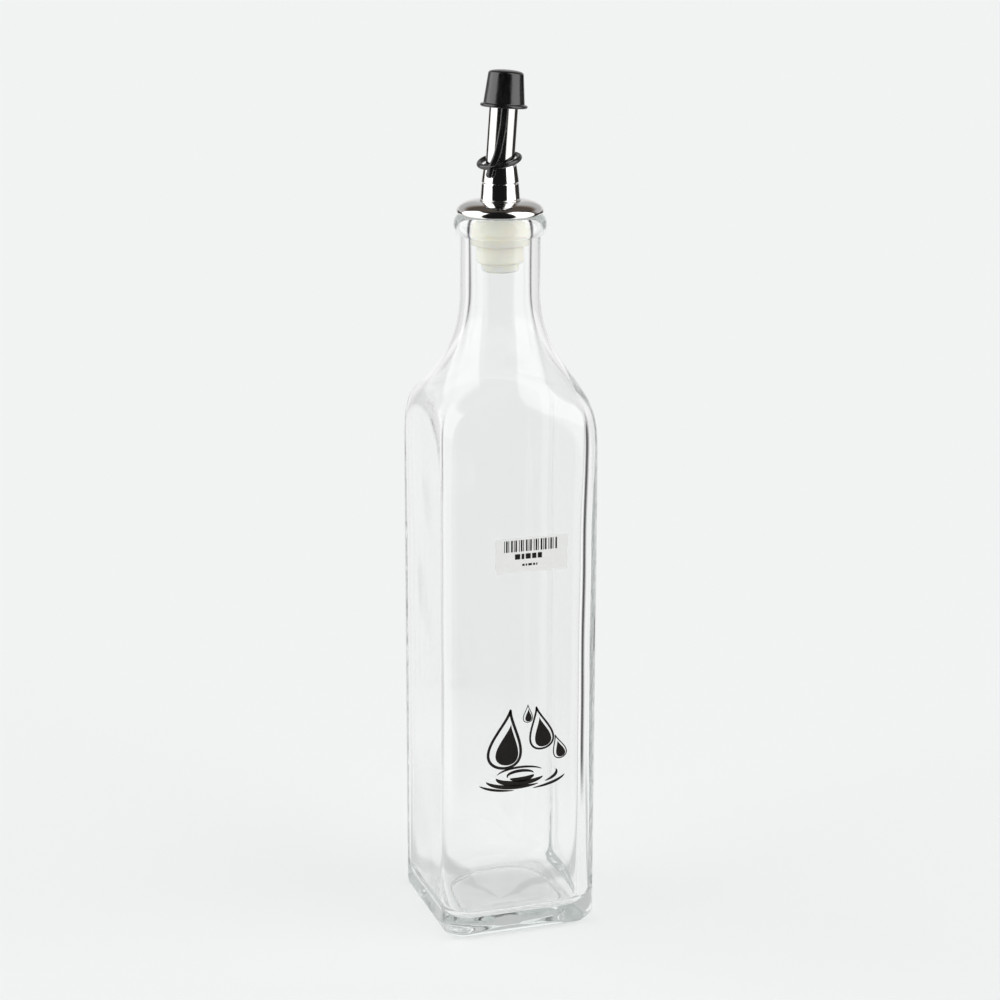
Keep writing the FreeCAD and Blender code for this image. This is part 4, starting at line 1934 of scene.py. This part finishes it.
@dataclass(frozen=True)
class Surroundings:
    """The world: soft boxes left and right, dark in front, pale behind.

    Edges are pairs of angles in degrees, sideways from the front or up from the
    level, between which one tone goes over into the next.
    """

    front: float
    pale: Colour
    boxes: tuple[SoftBox, ...] = (
        SoftBox((-118.0, -50.0), (-70.0, 60.0)),
        SoftBox((42.0, 100.0), (-70.0, 72.0)),
    )
    box_softness: tuple[float, float] = (3.0, 4.0)
    box_light: float = 2.6
    table_light: float = 1.35
    table_edge: tuple[float, float] = (1.0, 6.0)
    front_light: float = 0.010
    gap_light: float = 0.035
    front_edge: tuple[float, float] = (46.0, 56.0)
    pale_light: float = 0.88
    level_edge: tuple[float, float] = (144.0, 156.0)
    low_edge: tuple[float, float] = (120.0, 130.0)
    low_rise: tuple[float, float] = (-14.0, -10.0)
    high_edge: tuple[float, float] = (100.0, 125.0)
    high_rise: tuple[float, float] = (2.0, 10.0)
    high_light: float = 0.52
    high_fade: tuple[float, float] = (5.0, 17.0)
    ceiling_light: float = 0.095
    ceiling_fade: tuple[float, float] = (24.0, 42.0)
    warm: Colour = (1.0, 0.83, 0.69)
    warm_band: tuple[float, float] = (0.05, 0.30)
    warm_softness: float = 0.03
    scattered_share: float = 0.8
    scattered_light: float = 1.1
    inner_light: float = 0.30
    inner_box: tuple[float, float] = (48.0, 110.0)
    inner_box_softness: float = 8.0
    inner_box_light: float = 1.05
    inner_gap: tuple[float, float] = (112.0, 122.0)
    inner_gap_softness: float = 3.0
    inner_gap_light: float = 0.02
    inner_back: tuple[float, float] = (122.0, 132.0)
    inner_back_light: float = 0.45
    inner_back_fade: tuple[float, float] = (4.0, 22.0)
    inner_top: tuple[float, float] = (35.0, 65.0)
    inner_top_light: float = 0.60

    def behind(self, kit: NodeKit, away: Socket, rise: Socket) -> Socket:
        """Share of the pale wall behind the object.

        Args:
            kit: nodes of the world.
            away: angle sideways from the front, to either side.
            rise: angle up.

        Returns:
            The share.
        """
        under = kit.number("SUBTRACT", 1.0, kit.step(rise, self.low_rise))
        low = kit.number("MULTIPLY", kit.step(away, self.low_edge), under)
        level = kit.number("MAXIMUM", kit.step(away, self.level_edge), low)
        high = kit.number("MULTIPLY", kit.step(away, self.high_edge), kit.step(rise, self.high_rise))
        return kit.number("MAXIMUM", level, high)

    def box(self, kit: NodeKit, side: Socket, rise: Socket, box: SoftBox) -> Socket:
        """Share of a soft box.

        Args:
            kit: nodes of the world.
            side: angle sideways from the front.
            rise: angle up.
            box: where it stands.

        Returns:
            The share.
        """
        across_soft, up_soft = self.box_softness
        across = kit.within(side, box.sides, across_soft)
        return kit.number("MULTIPLY", across, kit.within(rise, box.heights, up_soft))

    def studio(self, kit: NodeKit, side: Socket, rise: Socket) -> Socket:
        """Brightness of the studio by direction.

        Args:
            kit: nodes of the world.
            side: angle sideways from the front.
            rise: angle up.

        Returns:
            The brightness.
        """
        away = kit.number("ABSOLUTE", side)
        beside = kit.number("SUBTRACT", 1.0, kit.step(away, self.front_edge))
        dim = kit.mixed(beside, self.gap_light, self.front_light)
        wall = kit.mixed(kit.step(rise, self.high_fade), self.pale_light, self.high_light)
        wall = kit.mixed(kit.step(rise, self.ceiling_fade), wall, self.ceiling_light)
        room = kit.mixed(self.behind(kit, away, rise), dim, wall)
        boxes = kit.number("ADD", *(self.box(kit, side, rise, box) for box in self.boxes))
        shine = kit.mixed(kit.step(rise, self.table_edge), self.table_light, self.box_light)
        return kit.mixed(boxes, room, shine)

    def inside_glass(self, kit: NodeKit, side: Socket, rise: Socket) -> Socket:
        """Brightness met by light that has turned about inside the glass.

        Args:
            kit: nodes of the world.
            side: angle sideways from the front.
            rise: angle up.

        Returns:
            The brightness.
        """
        away = kit.number("ABSOLUTE", side)
        boxes = kit.within(away, self.inner_box, self.inner_box_softness)
        light = kit.mixed(boxes, self.inner_light, self.inner_box_light)
        gap = kit.within(away, self.inner_gap, self.inner_gap_softness)
        light = kit.mixed(gap, light, self.inner_gap_light)
        fade = kit.step(rise, self.inner_back_fade)
        behind = kit.mixed(fade, self.pale_light, self.inner_back_light)
        light = kit.mixed(kit.step(away, self.inner_back), light, behind)
        return kit.mixed(kit.step(rise, self.inner_top), light, self.inner_top_light)

    def make(self, kit: NodeKit) -> None:
        """Build the world's nodes.

        Args:
            kit: nodes of the world.
        """
        kit.tree.nodes.clear()
        path = kit.node("ShaderNodeLightPath").outputs
        way = kit.node("ShaderNodeTexCoord").outputs["Generated"]
        through = path["Is Transmission Ray"]
        scattered = kit.number("GREATER_THAN", path["Diffuse Depth"], 0.5)
        mirrored = kit.number("GREATER_THAN", path["Glossy Depth"], 0.5)
        side = kit.sideways(way, self.front)
        rise = kit.number("MULTIPLY", kit.number("ARCSINE", kit.parts(way)["Z"]), math.degrees(1))
        studio = self.studio(kit, side, rise)
        turned_about = kit.number("MULTIPLY", through, mirrored)
        light = kit.mixed(turned_about, studio, self.inside_glass(kit, side, rise))
        behind_glass = kit.number("MULTIPLY", through, scattered)
        soft_light = kit.number("MULTIPLY", studio, self.scattered_share)
        soft_light = kit.number("ADD", soft_light, self.scattered_light)
        light = kit.mixed(behind_glass, light, soft_light)
        dark = kit.within(studio, self.warm_band, self.warm_softness)
        dark = kit.number("MULTIPLY", dark, kit.number("SUBTRACT", 1.0, through))
        tint = kit.mixed(dark, (1.0, 1.0, 1.0), self.warm, "RGBA")
        clear = kit.number("SUBTRACT", 1.0, kit.number("MAXIMUM", scattered, mirrored))
        seen_through = kit.number("MULTIPLY", through, clear)
        plain = kit.number("MAXIMUM", path["Is Camera Ray"], seen_through)
        # painted dark bands in the world, seen only through the glass
        left = PaintedDarkBands(self.front).light(kit, way, through)
        backgrounds = (
            kit.node("ShaderNodeBackground", {"Color": colour, "Strength": strength})
            for colour, strength in ((tint, light), (self.pale, left))
        )
        mix = kit.layered(plain, *(made.outputs["Background"] for made in backgrounds))
        kit.join(mix, kit.node("ShaderNodeOutputWorld").inputs["Surface"])


# --- whole ---------------------------------------------------------------------


def node_box(node: Node) -> tuple[Vector, Vector]:
    """Lowest and highest corner of a solid of the frame, in millimetres."""
    low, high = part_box(node.value)
    return low / MM, high / MM


def main() -> None:
    """Load the frame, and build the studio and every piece."""
    logging.basicConfig(level=logging.INFO, format="%(message)s")
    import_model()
    Studio().make()

    _, glass_high = node_box(Node.GLASS)
    BottleGlass(half=glass_high.x, height=glass_high.z).make(ClearGlass().make())
    pourer = Pourer(mouth=glass_high.z)
    pourer.make(PolishedSteel().make(), StopperPlastic().make())
    PourCap(pourer).make(MouldedRubber().make())
    FrontPrint(front=-glass_high.x).make(PrintInk("glass_ink").make())
    ShelfSticker(*node_box(Node.STICKER)).make(
        StickerPaper().make(), PrintInk("sticker_ink", rough=0.5).make(),
    )


if __name__ == "__main__":
    main()
